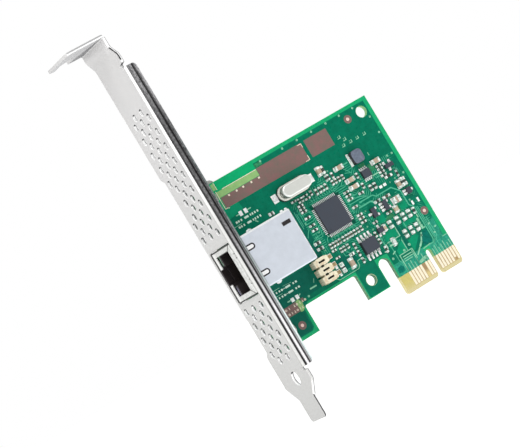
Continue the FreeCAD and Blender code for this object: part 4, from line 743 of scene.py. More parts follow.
def print_front():
    """Component side: copper under the mask, bare mask fields, traces, vias, screen print, fields of label."""
    teal, bright = m_routed("mask_over_copper", TEAL), m_mask("mask_over_laminate", GREEN, 0.08, rough=0.32)
    # copper pour, inset from every edge
    pour = Layer("copper_pour", teal, "board_laminate", -0.01, 0.016)
    outline = [(3.7, 46.9), (10.2, 46.9), (24.8, 46.9), (24.8, 53.9), (64.9, 53.9), (64.9, 9.3), (46.3, 9.3), (46.3, 13.1), (44.9, 13.3),
               (41.80, 13.3), (41.80, 5.15), (41.3, 4.85), (35.1, 4.85), (34.85, 5.2), (34.85, 13.3), (17.6, 13.3), (15.6, 12.0), (15.3, 6.4),
               (14.4, 5.6), (3.7, 5.6)]
    pour.slab([outline, circle(62.7, 51.35, 1.80, 28)[::-1], circle(37.95, 9.05, 1.72, 28)[::-1]])
    pour.done()
    # tone patches: places where the inner layers change, so the mask reads brighter or darker; the first dark rectangle
    # is painted shadow below the jack and beside the blocks
    dark = m_mask("mask_dark", (0.0022, 0.118, 0.078), 0.12)
    lay = Layer("mask_dark_and_shadow_areas", dark, "board_laminate", -0.01, 0.019)
    # first rectangle: painted shadow below the jack and beside the blocks
    for r in ((10.0, 23.6, 14.6, 21.8), (53.0, 53.9, 11.4, 20.0), (27.2, 28.9, 20.4, 37.0), (31.2, 37.5, 15.2, 19.0)):
        lay.rect(*r)
    lay.slab([[(3.7, 5.9), (14.2, 5.9), (14.9, 6.6), (14.9, 11.3), (13.9, 11.9), (3.7, 11.9)]])
    lay.done()
    blue = m_mask("mask_blue_green", (0.002, 0.150, 0.112), 0.30, scale=1.1)
    lay = Layer("mask_blue_areas", blue, "board_laminate", -0.01, 0.0195)
    lay.slab([[(58.0, 9.4), (61.0, 9.4), (61.0, 13.2), (59.2, 13.2), (58.2, 11.6)]])
    lay.slab([[(46.5, 6.4), (48.4, 6.2), (48.9, 7.4), (48.2, 8.3), (46.9, 7.9)]])
    lay.done()
    mid = m_mask("mask_mid", (0.024, 0.285, 0.185), 0.40, scale=1.3)
    lay = Layer("mask_mid_areas", mid, "board_laminate", -0.01, 0.0175)
    lay.slab([[(46.3, 5.45), (57.0, 5.45), (57.0, 7.6), (56.9, 9.25), (46.3, 9.25)]])
    lay.slab([[(59.1, 5.45), (66.1, 5.45), (66.1, 9.3), (64.9, 9.3), (64.9, 9.25), (59.1, 9.25)]])
    lay.slab([[(61.9, 9.3), (64.8, 9.3), (64.8, 15.6), (63.7, 14.6), (61.9, 14.4)]])
    lay.done()
    lay = Layer("mask_bright_areas", bright, "board_laminate", -0.01, 0.0210)
    lay.slab([[(11.4, 52.1), (24.8, 52.1), (24.8, 54.98), (11.4, 54.98)]])
    lay.done()
    soft = m_mask("mask_half_bright", (0.003, 0.265, 0.130), 0.16, rough=0.32, scale=0.7)
    lay = Layer("mask_soft_areas", soft, "board_laminate", -0.01, 0.0205)
    lay.rect(48.05, 52.5, 15.95, 18.4)
    lay.slab([[(54.4, 9.6), (57.9, 12.8), (57.2, 14.2), (55.9, 13.6), (54.2, 13.2)]])
    lay.rect(57.6, 59.9, 21.4, 23.3)
    lay.rect(49.3, 51.7, 21.2, 23.2)
    lay.slab([[(49.5, 10.9), (52.5, 10.9), (52.5, 14.1), (51.2, 13.6), (49.5, 12.2)]])
    lay.slab([[(10.0, 43.6), (15.3, 44.6), (15.0, 46.8), (10.0, 46.8)]])
    lay.rect(55.3, 60.4, 17.0, 18.1)
    lay.done()

    band = m_mask("mask_over_print", (0.262, 0.466, 0.175), 0.10, rough=0.45, scale=0.9)
    lay = Layer("pale_band", band, "board_laminate", -0.01, 0.024)
    lay.slab([[(10.6, 50.2), (24.8, 50.2), (24.8, 52.0), (10.6, 52.0)]])
    lay.slab([[(14.3, 11.7), (15.1, 11.6), (15.9, 12.2), (16.0, 14.0), (15.4, 15.2), (14.3, 14.9)]])
    lay.rect(10.2, 11.2, 52.7, 54.6)
    lay.done()

    olive = m_mask("mask_olive", (0.030, 0.215, 0.095), 0.40, rough=0.42, scale=1.6)
    lay = Layer("olive_areas", olive, "board_laminate", -0.01, 0.0182)
    lay.slab([[(50.9, 20.9), (52.6, 22.1), (54.3, 22.2), (54.8, 21.2), (53.0, 20.8)]])
    lay.slab([[(55.2, 21.2), (57.4, 21.2), (57.4, 23.6), (56.2, 24.0), (54.9, 23.3)]])
    lay.slab([[(53.2, 37.2), (54.8, 37.2), (54.9, 38.6), (52.6, 38.6)]])
    lay.rect(55.4, 57.2, 35.2, 37.4)
    lay.rect(24.9, 27.4, 52.5, 53.6)
    lay.done()

    brown = Layer("label_fields", m_brown(), "board_laminate", -0.01, 0.026)
    brown.slab([[(11.0, 46.8), (40.8, 46.8), (40.8, 52.3), (24.9, 52.3), (24.9, 50.1), (11.0, 50.1)]])
    brown.rect(42.0, 50.0, 47.0, 52.4)
    brown.slab([[(10.0, 11.95), (14.3, 11.95), (14.3, 14.9), (12.6, 14.9), (10.0, 14.8)]])
    brown.slab([[(16.0, 14.0), (16.9, 13.8), (16.9, 14.9), (16.0, 15.0)]])
    for x, z in ((57.65, 51.4), (63.65, 18.0), (12.44, 8.35)):
        brown.ring(x, z, 0.55, 1.22, 26)
    brown.done()

    # traces
    tr = Layer("traces", m_mask("mask_over_trace", TRACE, 0.16, rough=0.34), "board_laminate", -0.01, 0.023)
    for pts, w in TRACES:
        tr.line(pts, w)
    tr.done()
    pale = Layer("pale_traces", m_mask("mask_thin", PALE, 0.18, rough=0.4), "board_laminate", -0.01, 0.0245)
    for pts, w in PALES:
        pale.line(pts, w)
    for x, z, r in VIAS:
        pale.ring(x, z, 0.10, r)
    for x, z in ((52.2, 48.0), (53.5, 46.8), (52.2, 45.4), (54.8, 45.4), (57.2, 45.4), (59.8, 45.4)):
        pale.rect(x - 0.55, x + 0.50, z - 0.24, z - 0.02)
        pale.rect(x + 0.26, x + 0.50, z - 0.02, z + 0.62)
        pale.rect(x - 0.36, x - 0.12, z + 0.30, z + 0.52)
    pale.done()
    pits = Layer("via_holes", m_plain("via_dark", (0.02, 0.09, 0.06), 0.6), "board_laminate", -0.01, 0.0225)
    for x, z, r in VIAS:
        pits.disc(x, z, 0.12, 10)
    pits.done()

    # screen print
    silk = Layer("screen_print", m_silk("screen_ink", SILK), "board_laminate", -0.005, 0.028)
    for pts, w in SILKS:
        silk.line(pts, w)
    # row of small plain strokes by the lamps
    for z in (42.0, 40.4):
        for x0, x1 in ((11.15, 11.65), (11.95, 12.3), (12.85, 13.2), (14.15, 15.45), (16.1, 16.35), (16.75, 17.1), (17.6, 17.95), (18.5, 18.85)):
            silk.rect(x0 - 0.05, x1 + 0.05, z - 0.30, z + 0.30)
    for z in (19.65, 18.0):
        for x0, x1 in ((10.6, 10.9), (11.55, 11.95), (12.4, 12.85), (13.95, 15.5), (16.45, 16.85), (17.35, 17.85)):
            silk.rect(x0 - 0.04, x1 + 0.04, z - 0.27, z + 0.27)
        silk.rect(12.9, 13.9, z - 0.07, z + 0.07)
    silk.done()
    cream = Layer("cream_marks", m_silk("cream_ink", (0.86, 0.74, 0.60), 0.12), "board_laminate", -0.005, 0.031)
    for x in (13.7, 16.4, 18.7, 21.6, 24.3):
        cream.rect(x - 0.28, x + 0.28, 49.42, 49.95)
    for pts in ([(39.6, 52.05), (40.8, 52.05), (40.8, 51.0)], [(40.8, 48.3), (40.8, 46.95), (39.5, 46.95)]):
        cream.line(pts, 0.17)
    cream.line([(12.9, 52.1), (24.7, 52.1)], 0.17)
    cream.line([(10.62, 52.2), (10.62, 46.75), (11.3, 46.75), (11.9, 46.5)], 0.17)
    cream.line([(11.35, 52.6), (11.35, 54.8)], 0.14)
    for z, row in ((14.1, (10.5, 11.6, 13.4, 14.3, 15.35, 16.3, 17.2)), (12.65, (10.75, 11.75, 12.75, 13.65, 14.6, 15.4))):
        for k, x in enumerate(row):
            if k % 3 == 0:
                cream.ring(x, z, 0.14, 0.32, 12)
            elif k % 3 == 1:
                cream.rect(x - 0.10, x + 0.10, z - 0.36, z + 0.36)
            else:
                cream.rect(x - 0.22, x + 0.22, z - 0.34, z - 0.16)
                cream.rect(x - 0.09, x + 0.09, z - 0.20, z + 0.34)
    cream.done()
    fid = Layer("sighting_dots", m_plain("dot_copper", (0.88, 0.62, 0.55), 0.4, 0.25, amount=0.05), "board_laminate", -0.01, 0.03)
    for x, z in ((57.65, 51.4), (63.65, 18.0), (12.44, 8.35)):
        fid.disc(x, z, 0.5, 24)
    fid.done()
    # bare copper ring wall of the mounting holes
    hole = Layer("hole_rings", m_plain("hole_pale", (0.52, 0.60, 0.36), 0.5, amount=0.1), "board_laminate", -0.01, 0.02)
    hole.ring(37.95, 9.05, 1.6, 1.72, 30)
    hole.done()


def bus(xs, z0, z1, w):
    return [([(x, z0), (x, z1)], w) for x in xs]


TRACES = []
# two wide runs from the controller to the right and the long run down to the fingers
TRACES += [([(46.3, 28.1), (50.4, 28.1), (51.6, 26.9)], 0.42), ([(47.3, 29.35), (51.9, 29.35), (52.8, 28.5), (58.2, 28.5), (60.35, 26.35), (60.35, 21.7),
            (61.45, 20.6), (61.45, 10.0), (60.9, 9.0), (57.3, 9.0)], 0.34)]
TRACES += [([(44.2, 31.0), (47.5, 31.0), (49.4, 30.4), (50.4, 29.8)], 0.22), ([(44.2, 30.2), (47.8, 30.2), (50.2, 29.9)], 0.22),
           ([(43.9, 31.9), (47.9, 31.9), (48.9, 32.4)], 0.20)]
TRACES += [([(62.0, 20.2), (62.0, 9.6), (60.2, 7.9), (60.2, 5.5)], 0.22), ([(62.45, 20.0), (62.45, 10.3), (61.2, 9.0), (61.2, 5.5)], 0.22),
           ([(63.1, 16.0), (63.1, 10.4), (62.2, 9.3), (62.2, 5.5)], 0.22)]
TRACES += [([(48.6, 15.2), (48.6, 9.4), (49.1, 8.7), (49.1, 5.5)], 0.2), ([(47.2, 18.7), (47.2, 15.2)], 0.3), ([(55.9, 18.2), (55.9, 16.2)], 0.3)]
# lines between the jack and the controller
for k, (z, zz) in enumerate(((35.1, 34.2), (34.4, 33.7), (33.1, 33.1), (32.4, 32.6), (31.6, 32.0), (30.6, 31.2), (29.9, 30.5), (28.9, 29.6), (28.2, 28.9),
                             (27.2, 28.1), (26.5, 27.3))):
    TRACES.append(([(29.4, z), (31.9, z), (32.4, zz), (33.0, zz)], 0.16))
TRACES += [([(29.1, 30.0), (28.4, 29.2), (27.7, 28.2)], 0.2), ([(30.2, 27.0), (28.6, 26.5), (27.9, 25.6)], 0.2), ([(28.0, 36.3), (28.0, 31.0)], 0.18),
           ([(28.45, 35.5), (28.45, 31.6)], 0.16)]
# fan-out below the controller
for k in range(9):
    x = 34.35 + k * 0.95
    TRACES.append(([(x, 25.7), (x - 0.15 + 0.1 * (k % 3), 25.0), (x - 0.55 + 0.12 * k, 24.3), (x - 0.4 + 0.1 * k, 23.9)], 0.16))
TRACES += [([(33.9, 25.8), (33.1, 25.6), (32.6, 25.1), (32.3, 24.2)], 0.2), ([(36.0, 22.0), (36.6, 21.6), (37.9, 21.9), (38.6, 22.0)], 0.2),
           ([(32.3, 22.0), (33.2, 21.3), (34.2, 21.5)], 0.3), ([(34.7, 19.6), (34.9, 18.5), (36.0, 18.2)], 0.2), ([(35.6, 19.6), (36.6, 18.6), (38.0, 18.4)], 0.2)]
TRACES += [([(34.2 + 0.42 * k, 24.9 - 0.1 * (k % 2)), (36.4 + 0.5 * k, 24.5)], 0.14) for k in range(0, 14, 3)]
# fan-out above the controller
for k in range(10):
    x = 34.6 + k * 0.78
    j = 0.35 * ((k % 3) - 1)
    TRACES.append(([(x, 36.1), (x, 36.6), (x + j, 37.3), (x + j, 38.2), (x + j * 0.2, 38.9), (x + j * 0.2, 39.7)], 0.17))
TRACES += [([(41.4, 36.6), (43.0, 37.3), (43.6, 37.3)], 0.16), ([(41.8, 36.2), (44.2, 36.6), (45.3, 37.3)], 0.16), ([(42.2, 35.8), (45.0, 36.1), (46.3, 37.4)], 0.16),
           ([(42.4, 35.3), (45.9, 35.4), (46.6, 35.9)], 0.16)]
# right of the controller
for k in range(12):
    z = 26.2 + k * 0.72
    TRACES.append(([(43.7, z), (44.1, z), (44.4, z + 0.22 * ((k % 3) - 1))], 0.16))
for k, z in enumerate((24.1, 25.3, 26.4, 28.95, 31.45, 32.6, 33.75)):
    TRACES.append(([(46.0, z), (46.6, z), (47.0, z - 0.5)], 0.2))
TRACES += [([(48.2, 39.8), (48.8, 39.2), (49.6, 38.3)], 0.18), ([(48.0, 38.6), (49.2, 38.1), (50.0, 37.9)], 0.18), ([(50.0, 34.9), (50.6, 34.6), (50.6, 33.6)], 0.2),
           ([(50.3, 40.9), (49.3, 40.9), (48.6, 40.9)], 0.4)]
TRACES += [([(54.8, 34.0), (57.4, 34.0), (58.0, 34.5)], 0.3), ([(56.0, 33.0), (59.8, 32.9)], 0.24), ([(60.6, 32.9), (62.4, 32.9), (63.1, 32.0)], 0.22)]

PALES = []
PALES += [([(52.8, 19.0), (52.8, 15.5), (48.2, 15.5)], 0.26), ([(54.0, 7.6), (54.0, 10.7), (49.5, 10.7), (49.5, 5.5)], 0.24), ([(53.6, 10.4), (53.6, 5.5)], 0.2),
          ([(50.2, 9.85), (53.2, 9.85)], 0.26), ([(50.2, 9.2), (53.2, 9.2)], 0.22), ([(50.0, 8.55), (52.8, 8.55)], 0.20), ([(52.6, 14.2), (52.6, 11.0)], 0.2)]
PALES += [([(54.7, 8.3), (56.3, 9.7)], 0.40), ([(56.7, 10.0), (57.7, 10.9)], 0.55), ([(57.9, 11.2), (59.1, 13.1)], 0.42), ([(54.3, 6.2), (56.6, 6.6)], 0.9), ([(57.2, 8.85), (59.8, 9.2)], 0.22)]
PALES += [([(60.3, 16.9 - 0.95 * k), (60.3, 16.45 - 0.95 * k)], 0.8 - 0.12 * (k % 2)) for k in range(3)] + [([(60.85, 18.2), (60.85, 17.4)], 0.42), ([(60.1, 14.0), (61.0, 14.0)], 0.34)]
PALES += [([(55.0, 34.0), (57.6, 34.0)], 0.34)]
PALES += [([(x, 5.46), (x, 7.0 + 0.5 * ((k * 7) % 3))], 0.2) for k, x in enumerate((49.56, 50.56, 51.56, 52.56, 53.56, 55.56, 56.56, 59.56, 60.56, 61.56, 62.56,
                                                                                     63.56, 64.56, 65.5))]
PALES += [([(62.6, 14.1), (62.9, 14.3)], 0.45), ([(63.9, 12.6), (64.2, 12.7)], 0.5), ([(62.8, 11.3), (63.1, 11.2)], 0.4), ([(64.4, 9.1), (66.0, 9.1)], 0.18)]
PALES += [([(20.3, 15.8), (22.3, 15.8)], 0.42), ([(22.15, 16.8), (22.75, 17.8)], 0.16), ([(12.3, 15.9), (13.3, 15.9)], 0.35), ([(16.2, 15.9), (16.7, 16.1)], 0.35)]
PALES += [([(10.0, 20.5), (12.2, 20.5)], 0.12), ([(10.0, 18.75), (12.2, 18.75)], 0.12), ([(13.4, 20.4), (16.2, 20.2)], 0.08), ([(12.4, 43.65), (13.4, 43.65)], 0.32),
          ([(16.2, 43.65), (17.3, 43.65)], 0.32), ([(10.0, 41.0), (12.6, 41.1)], 0.14), ([(16.6, 39.8), (17.1, 39.3)], 0.32)]
PALES += [([(48.6, 14.4), (49.3, 14.4)], 0.5), ([(48.0, 12.0), (48.9, 12.4)], 0.35), ([(57.6, 40.4), (57.6, 39.6)], 0.2)]

VIAS = [(x, 53.5, 0.32) for x in (27.2, 35.1, 40.4, 45.6, 50.9, 55.8, 60.7)]
VIAS += [(64.2, z, 0.30) for z in (48.9, 43.8, 36.8, 30.4)] + [(62.5, 36.8, 0.28), (18.7, 14.3, 0.32), (53.9, 12.0, 0.42), (51.6, 11.3, 0.36),
         (58.7, 12.4, 0.34), (47.2, 10.9, 0.36), (47.0, 34.8, 0.2), (51.3, 35.0, 0.22), (50.0, 30.9, 0.2), (60.9, 30.2, 0.24), (61.4, 22.8, 0.24),
         (29.3, 31.9, 0.2), (31.6, 28.0, 0.2), (36.1, 25.2, 0.2), (38.7, 25.0, 0.2), (41.1, 25.2, 0.2), (43.9, 25.9, 0.2), (37.3, 20.2, 0.2), (45.4, 22.4, 0.22),
         (40.2, 37.4, 0.2), (37.6, 37.2, 0.2), (46.5, 20.9, 0.22), (50.9, 27.9, 0.2), (56.0, 26.2, 0.2), (58.9, 29.9, 0.2), (63.2, 27.1, 0.22), (48.5, 24.6, 0.2),
         (51.6, 25.0, 0.24), (54.9, 24.9, 0.2), (47.4, 26.4, 0.2), (43.6, 41.6, 0.24), (42.6, 41.2, 0.2), (45.4, 40.8, 0.22), (30.3, 22.8, 0.2)]

PALES += [([(28.8, 14.35), (29.5, 13.6), (36.4, 13.6), (37.1, 14.35), (37.2, 15.65), (38.9, 15.75), (39.8, 14.7)], 0.16)]

SILKS = [([(33.3, 26.1), (33.3, 25.9), (33.6, 25.6)], 0.12), 
         ([(46.1, 13.7), (46.9, 13.4), (47.5, 14.3), (47.5, 15.3)], 0.26)]


def solder_work():
    """Pads and solder under every lead and end cap, joints of the tails and pins, with dark rims round the pads and a
    dark patch round the controller, both painted shade.
    """
    # near-white, faintly green and hardly metallic: partly painted reflection of the white surroundings and the green
    # board
    sol = m_solder("solder", (0.93, 1.0, 0.95), 0.36, 0.10)
    pads = Layer("solder_pads", sol, "tinned_lead", -0.01, 0.034)
    # dark rims round the pads: painted shade
    pad_shade = Layer("pad_shade_rims", m_mask("mask_pad_shade", (0.001, 0.085, 0.050), 0.30, scale=2.0), "board_laminate", -0.01, 0.0222)
    wet = Layer("solder_fillets", sol, "tinned_lead", 0.0, 0.034)
    for node, grow, side, rise, fil in (("chip_capacitor_ends", 0.20, 0.04, 0.42, True), ("small_capacitor_ends", 0.12, 0.04, 0.24, True),
                                        ("chip_resistor_ends", 0.12, 0.04, 0.20, True), ("inductor_terminals", 0.15, 0.10, 0.35, True),
                                        ("transistor_leads", 0.32, 0.16, 0.10, False), ("flash_leads", 0.50, 0.14, 0.12, False),
                                        ("regulator_leads", 0.20, 0.06, 0.10, False), ("controller_leads", 0.16, -0.02, 0.0, False),
                                        ("crystal_leads", 0.12, 0.18, 0.12, True), ("block_terminals", 0.18, 0.14, 0.16, True)):
        for full, foot in islands(node):
            if not foot:
                continue
            x0, x1, z0, z1 = foot
            if x1 - x0 < 0.12 or z1 - z0 < 0.12:
                continue
            lengthways_x = (x1 - x0) < (z1 - z0) if fil else (x1 - x0) > (z1 - z0)
            gx, gz = (grow, side) if lengthways_x else (side, grow)
            pads.slab([[(a, b) for a, b, _ in rounded(x0 - gx, x1 + gx, z0 - gz, z1 + gz, 0.07, 0)]])
            if node not in ("controller_leads", "regulator_leads"):
                pad_shade.rect(x0 - gx - 0.11, x1 + gx + 0.11, z0 - gz - 0.11, z1 + gz + 0.11)
            if rise:
                k = 0.82
                wet.fillet((x0 - 0.015, x1 + 0.015, z0 - 0.015, z1 + 0.015), (x0 - gx * k, x1 + gx * k, z0 - gz * k, z1 + gz * k), rise)
    # painted shade round the controller's base
    pad_shade.slab([[(32.9, 25.0), (43.15, 25.0), (43.15, 35.6), (32.9, 35.6)]])
    # empty pads
    for x, z, w, d in ((13.9, 43.65, 1.05, 1.4), (15.6, 43.65, 1.05, 1.4), (13.9, 15.75, 1.05, 1.15), (15.55, 15.8, 1.05, 1.25),
                       (61.75, 21.65, 0.6, 1.3), (63.8, 21.65, 0.6, 1.3), (55.6, 30.1, 1.0, 0.8), (57.05, 30.1, 1.0, 0.8),
                       (30.6, 17.0, 0.8, 0.8), (30.7, 14.55, 0.7, 0.5)):
        pads.pad(x, z, w, d)
        wet.blob(x, z, w * 0.46, d * 0.46, 0.10, 16, 4)
    # shield tails and far tabs
    for x, z in ((13.25, 22.05), (13.25, 38.35)):
        wet.blob(x, z, 0.95, 0.55, 0.42, 20, 5)
    for x in (24.85, 26.3):
        wet.blob(x, 38.45, 0.5, 0.36, 0.3, 16, 4)
    # crystal lands
    for x0, x1 in ((24.25, 25.95), (36.95, 38.75)):
        pads.rect(x0, x1, 41.0, 43.5)
    pads.done()
    pad_shade.done()
    wet.done(50)


def print_back():
    """Solder side: pour, a few runs, vias, joints of the jack's pins, tails and lamp leads."""
    m = m_mask("mask_back", TEAL, 0.10)
    g = Layer("copper_pour_back", m, "board_laminate", -0.01, 0.016, side=1)
    outline = [(3.7, 53.9), (64.9, 53.9), (64.9, 9.3), (46.3, 9.3), (46.3, 13.1), (44.6, 13.7), (41.2, 13.7), (41.2, 7.0), (40.6, 5.7),
               (35.9, 5.7), (35.9, 13.6), (17.6, 13.6), (15.6, 12.0), (15.3, 6.4), (14.4, 5.6), (3.7, 5.6)]
    holes = [circle(62.7, 51.35, 2.6, 28)[::-1], circle(37.95, 9.05, 2.2, 28)[::-1], circle(7.3, 50.9, 2.5, 24)[::-1], circle(7.3, 8.75, 2.0, 24)[::-1],
             circle(8.9, 24.6, 2.0, 24)[::-1], circle(8.9, 35.7, 2.0, 24)[::-1]]
    g.slab([outline] + holes)
    g.done()
    t = Layer("traces_back", m_mask("mask_trace_back", TRACE, 0.14, rough=0.34), "board_laminate", -0.01, 0.023, side=1)
    for k in range(8):
        z = 23.8 + 1.27 * k
        t.line([(20.2, z), (24.0 + 0.4 * k, z), (26.6 + 0.4 * k, z + 1.2 - 0.2 * k), (33.5, z + 1.2 - 0.2 * k)], 0.26)
    for k, x in enumerate((49.56, 50.56, 52.56, 53.56, 55.56, 59.56, 60.56, 62.56, 63.56, 64.56)):
        t.line([(x, 5.5), (x, 8.4 + 0.4 * (k % 3)), (x - 1.6, 10.4 + 0.5 * (k % 4)), (x - 1.6, 14.0 + 1.1 * k)], 0.24)
    for z in (45.2, 46.6):
        t.line([(12.0, z), (30.0, z), (33.0, z - 3.0), (46.0, z - 3.0), (49.0, z - 6.0), (58.0, z - 6.0)], 0.3)
    t.done()
    v = Layer("vias_back", m_mask("mask_via_back", PALE, 0.15, rough=0.4), "board_laminate", -0.01, 0.0245, side=1)
    for x, z, r in VIAS:
        v.ring(x, z, 0.1, r + 0.05)
    for x in range(6):
        v.line([(44.0 + 2.1 * x, 33.0), (44.0 + 2.1 * x, 35.2)], 0.8)
    v.ring(62.7, 51.35, 1.74, 2.5, 30)
    v.ring(37.95, 9.05, 1.62, 2.1, 30)
    v.done()
    s = Layer("solder_back", m_solder("solder_back"), "tinned_lead", 0.0, 0.03, side=1)
    pins = [(16.2, 25.07 + 2.54 * k) for k in range(5)] + [(18.74, 23.8 + 2.54 * k) for k in range(6)] + [(3.7, 24.4), (3.7, 26.1), (3.7, 34.2), (3.7, 35.9)]
    for x, z in pins:
        r = 0.95 if x > 10 else 0.72
        s.loft([[(a, b, 0.0) for a, b in circle(x, z, r, 18)], [(a, b, 0.06) for a, b in circle(x, z, r * 0.98, 18)],
                [(a, b, 0.30) for a, b in circle(x, z, r * 0.62, 18)], [(a, b, 0.62) for a, b in circle(x, z, r * 0.42, 18)],
                [(a, b, 0.80) for a, b in circle(x, z, r * 0.30, 18)]])
    for x in (6.05, 13.3):
        for z in (22.3, 38.0):
            s.blob(x, z, 1.35, 0.85, 0.55, 20, 5)
    s.done(50)
    k = Layer("print_back", m_silk("screen_ink_back", SILK), "board_laminate", -0.005, 0.028, side=1)
    k.line([(3.4, 21.0), (22.4, 21.0), (22.4, 39.3), (3.4, 39.3)], 0.16)
    for x in (26.0, 29.5, 33.0):
        k.rect(x, x + 2.0, 48.9, 49.15)
        k.rect(x, x + 1.2, 48.3, 48.55)
    k.done()
    e = Layer("clearings_back", m_plain("clear_back", (0.010, 0.36, 0.15), 0.35, 0, 0.25), "board_laminate", -0.01, 0.0195, side=1)
    for x, z in pins:
        e.ring(x, z, 0.45, 1.15 if x > 10 else 0.86, 20)
    e.done()


# ================================================================== floor
def floor():
    bm = bmesh.new()
    bmesh.ops.create_grid(bm, x_segments=1, y_segments=1, size=20)
    me = bpy.data.meshes.new("floor")
    bm.to_mesh(me)
    bm.free()
    fl = bpy.data.objects.new("floor", me)
    fl.location = (0, 0, -0.25)
    bpy.context.scene.collection.objects.link(fl)
    m = Mat("floor_white", rough=0.9, spec=0.1)
    n = m.noise(0.01, 2)
    m.color(m.mix(n, (0.93, 0.93, 0.93), (0.95, 0.95, 0.95)))
    m.b.inputs["Emission Color"].default_value = (1, 1, 1, 1)
    m.b.inputs["Emission Strength"].default_value = 0.62
    me.materials.append(m.m)


# ================================================================== put together
def m_windings():
    m = Mat("enamel_copper", rough=0.28, metal=0.6)
    x, y, z = m.xyz()
    turn = m.math("SINE", m.math("MULTIPLY", m.math("ADD", x, m.math("MULTIPLY", y, 0.4)), 18.0))
    m.color(m.mix(m.rng(turn, -1, 1, 0, 1), (0.34, 0.13, 0.04), (0.78, 0.36, 0.14)))
    m.rough(m.rng(m.noise(3.0, 3), 0.3, 0.7, 0.24, 0.36))
    m.bump(turn, 0.5, 0.00008)
    return m.m


def m_block():
    """Cream moulded blocks: ribbed upper left corner with painted shade in its ribs, walls painted darker towards the
    board and slots painted dark as shade, warmer tint at the outer end.
    """
    m = Mat("cream_moulding", rough=0.42, spec=0.4)
    x, y, z = m.xyz()
    u = m.math("SUBTRACT", x, FX)
    n = m.noise(1.6, 4, 0.6)
    c = m.mix(m.rng(n, 0.3, 0.7, 0, 1), (0.74, 0.66, 0.46), (0.90, 0.84, 0.66))
    c = m.mix(m.rng(u, 27.6, 28.6, 0.0, 0.5), c, (0.92, 0.90, 0.66))
    # painted shade in the ribs of the left wall
    rib = m.math("SINE", m.math("MULTIPLY", z, 9.8))
    side = m.math("MULTIPLY", m.rng(u, 23.83, 23.78, 0, 1), m.rng(y, -3.50, -3.40, 0, 1))
    c = m.mix(m.math("MULTIPLY", m.rng(rib, 0.2, 0.6, 0, 0.30), side), c, (0.16, 0.13, 0.07))
    # painted shade: walls darker towards the board, less at the outer end
    c = m.mix(m.math("MULTIPLY", m.rng(y, -3.40, -1.2, 0, 0.50), m.rng(u, 27.3, 27.6, 0.9, 0.35)), c, (0.36, 0.30, 0.19))
    n2 = m.noise(1.0, 2)
    c = m.mix(m.math("MULTIPLY", m.rng(n2, 0.52, 0.62, 0, 0.7), m.rng(y, -3.45, -3.53, 0, 1)), c, (0.74, 0.56, 0.36))
    # painted shade in the slots, near black further in
    deep = m.math("MULTIPLY", m.rng(y, -3.50, -3.42, 0.0, 1.0), m.between(u, 25.1, 27.5, 0.05))
    c = m.mix(deep, c, (0.10, 0.078, 0.032))
    c = m.mix(m.math("MULTIPLY", deep, m.rng(y, -3.1, -2.9, 0, 1)), c, (0.012, 0.010, 0.005))
    m.color(c)
    m.rough(m.rng(n, 0.3, 0.7, 0.36, 0.50))
    m.bump(m.noise(9.0, 3), 0.10, 0.00004)
    return m.m


def m_ceramic(name, color, tint, pale=None):
    """Fired chip bodies, each a slightly different batch: tone steps by place."""
    m = Mat(name, rough=0.42, spec=0.4)
    cell = m.noise(0.35, 1, 0.4)
    c = m.mix(m.rng(cell, 0.38, 0.62, 0, 1), color, tint)
    if pale:
        x, y, z = m.xyz()
        spot = m.math("MULTIPLY", m.between(m.math("SUBTRACT", x, FX), pale[0], pale[1], 0.1), m.between(z, pale[2], pale[3], 0.1))
        c = m.mix(spot, c, pale[4])
    n = m.noise(6.0, 3, 0.6)
    c = m.mix(m.rng(n, 0.3, 0.7, 0.0, 0.25), c, scaled(color, 1.4))
    m.color(c)
    m.rough(m.rng(n, 0.3, 0.7, 0.36, 0.50))
    m.bump(n, 0.12, 0.00004)
    return m.m


def m_ferrite():
    """Moulded inductor: grey-blue granular top; the wall is painted nearly black, partly its darker moulding and partly
    painted shade.
    """
    m = Mat("inductor_ferrite", rough=0.55, spec=0.3)
    x, y, z = m.xyz()
    n = m.noise(1.1, 4, 0.65)
    c = m.mix(m.rng(n, 0.34, 0.66, 0, 1), (0.105, 0.130, 0.175), (0.165, 0.195, 0.255))
    # wall painted near black: partly its darker moulding, partly painted shade
    c = m.mix(m.rng(y, -2.78, -2.60, 0, 1), c, (0.030, 0.027, 0.034))
    m.color(c)
    m.rough(m.rng(n, 0.3, 0.7, 0.48, 0.62))
    m.bump(m.noise(9.0, 3), 0.25, 0.00005)
    return m.m


def m_cap_end():
    """Tinned ends: white facets broken by dull grey-green ones, as solder mirrors its surroundings."""
    m = Mat("end_caps", rough=0.34, metal=0.15)
    n = m.noise(1.5, 3, 0.65)
    c = m.mix(m.rng(n, 0.40, 0.56, 0, 1), (0.32, 0.46, 0.39), (0.95, 0.99, 0.95))
    f = m.noise(5.0, 3)
    c = m.mix(m.rng(f, 0.60, 0.72, 0, 0.75), c, (0.10, 0.21, 0.17))
    m.color(c)
    m.rough(m.rng(f, 0.3, 0.7, 0.28, 0.44))
    m.bump(f, 0.35, 0.00007)
    return m.m


def m_jack_plastic():
    m = Mat("black_moulding", rough=0.48, spec=0.4)
    n = m.noise(10.0, 3, 0.55)
    m.color(m.mix(m.rng(n, 0.3, 0.7, 0, 1), (0.013, 0.0095, 0.010), (0.024, 0.018, 0.019)))
    m.rough(m.rng(n, 0.3, 0.7, 0.42, 0.58))
    m.bump(n, 0.10, 0.00004)
    return m.m


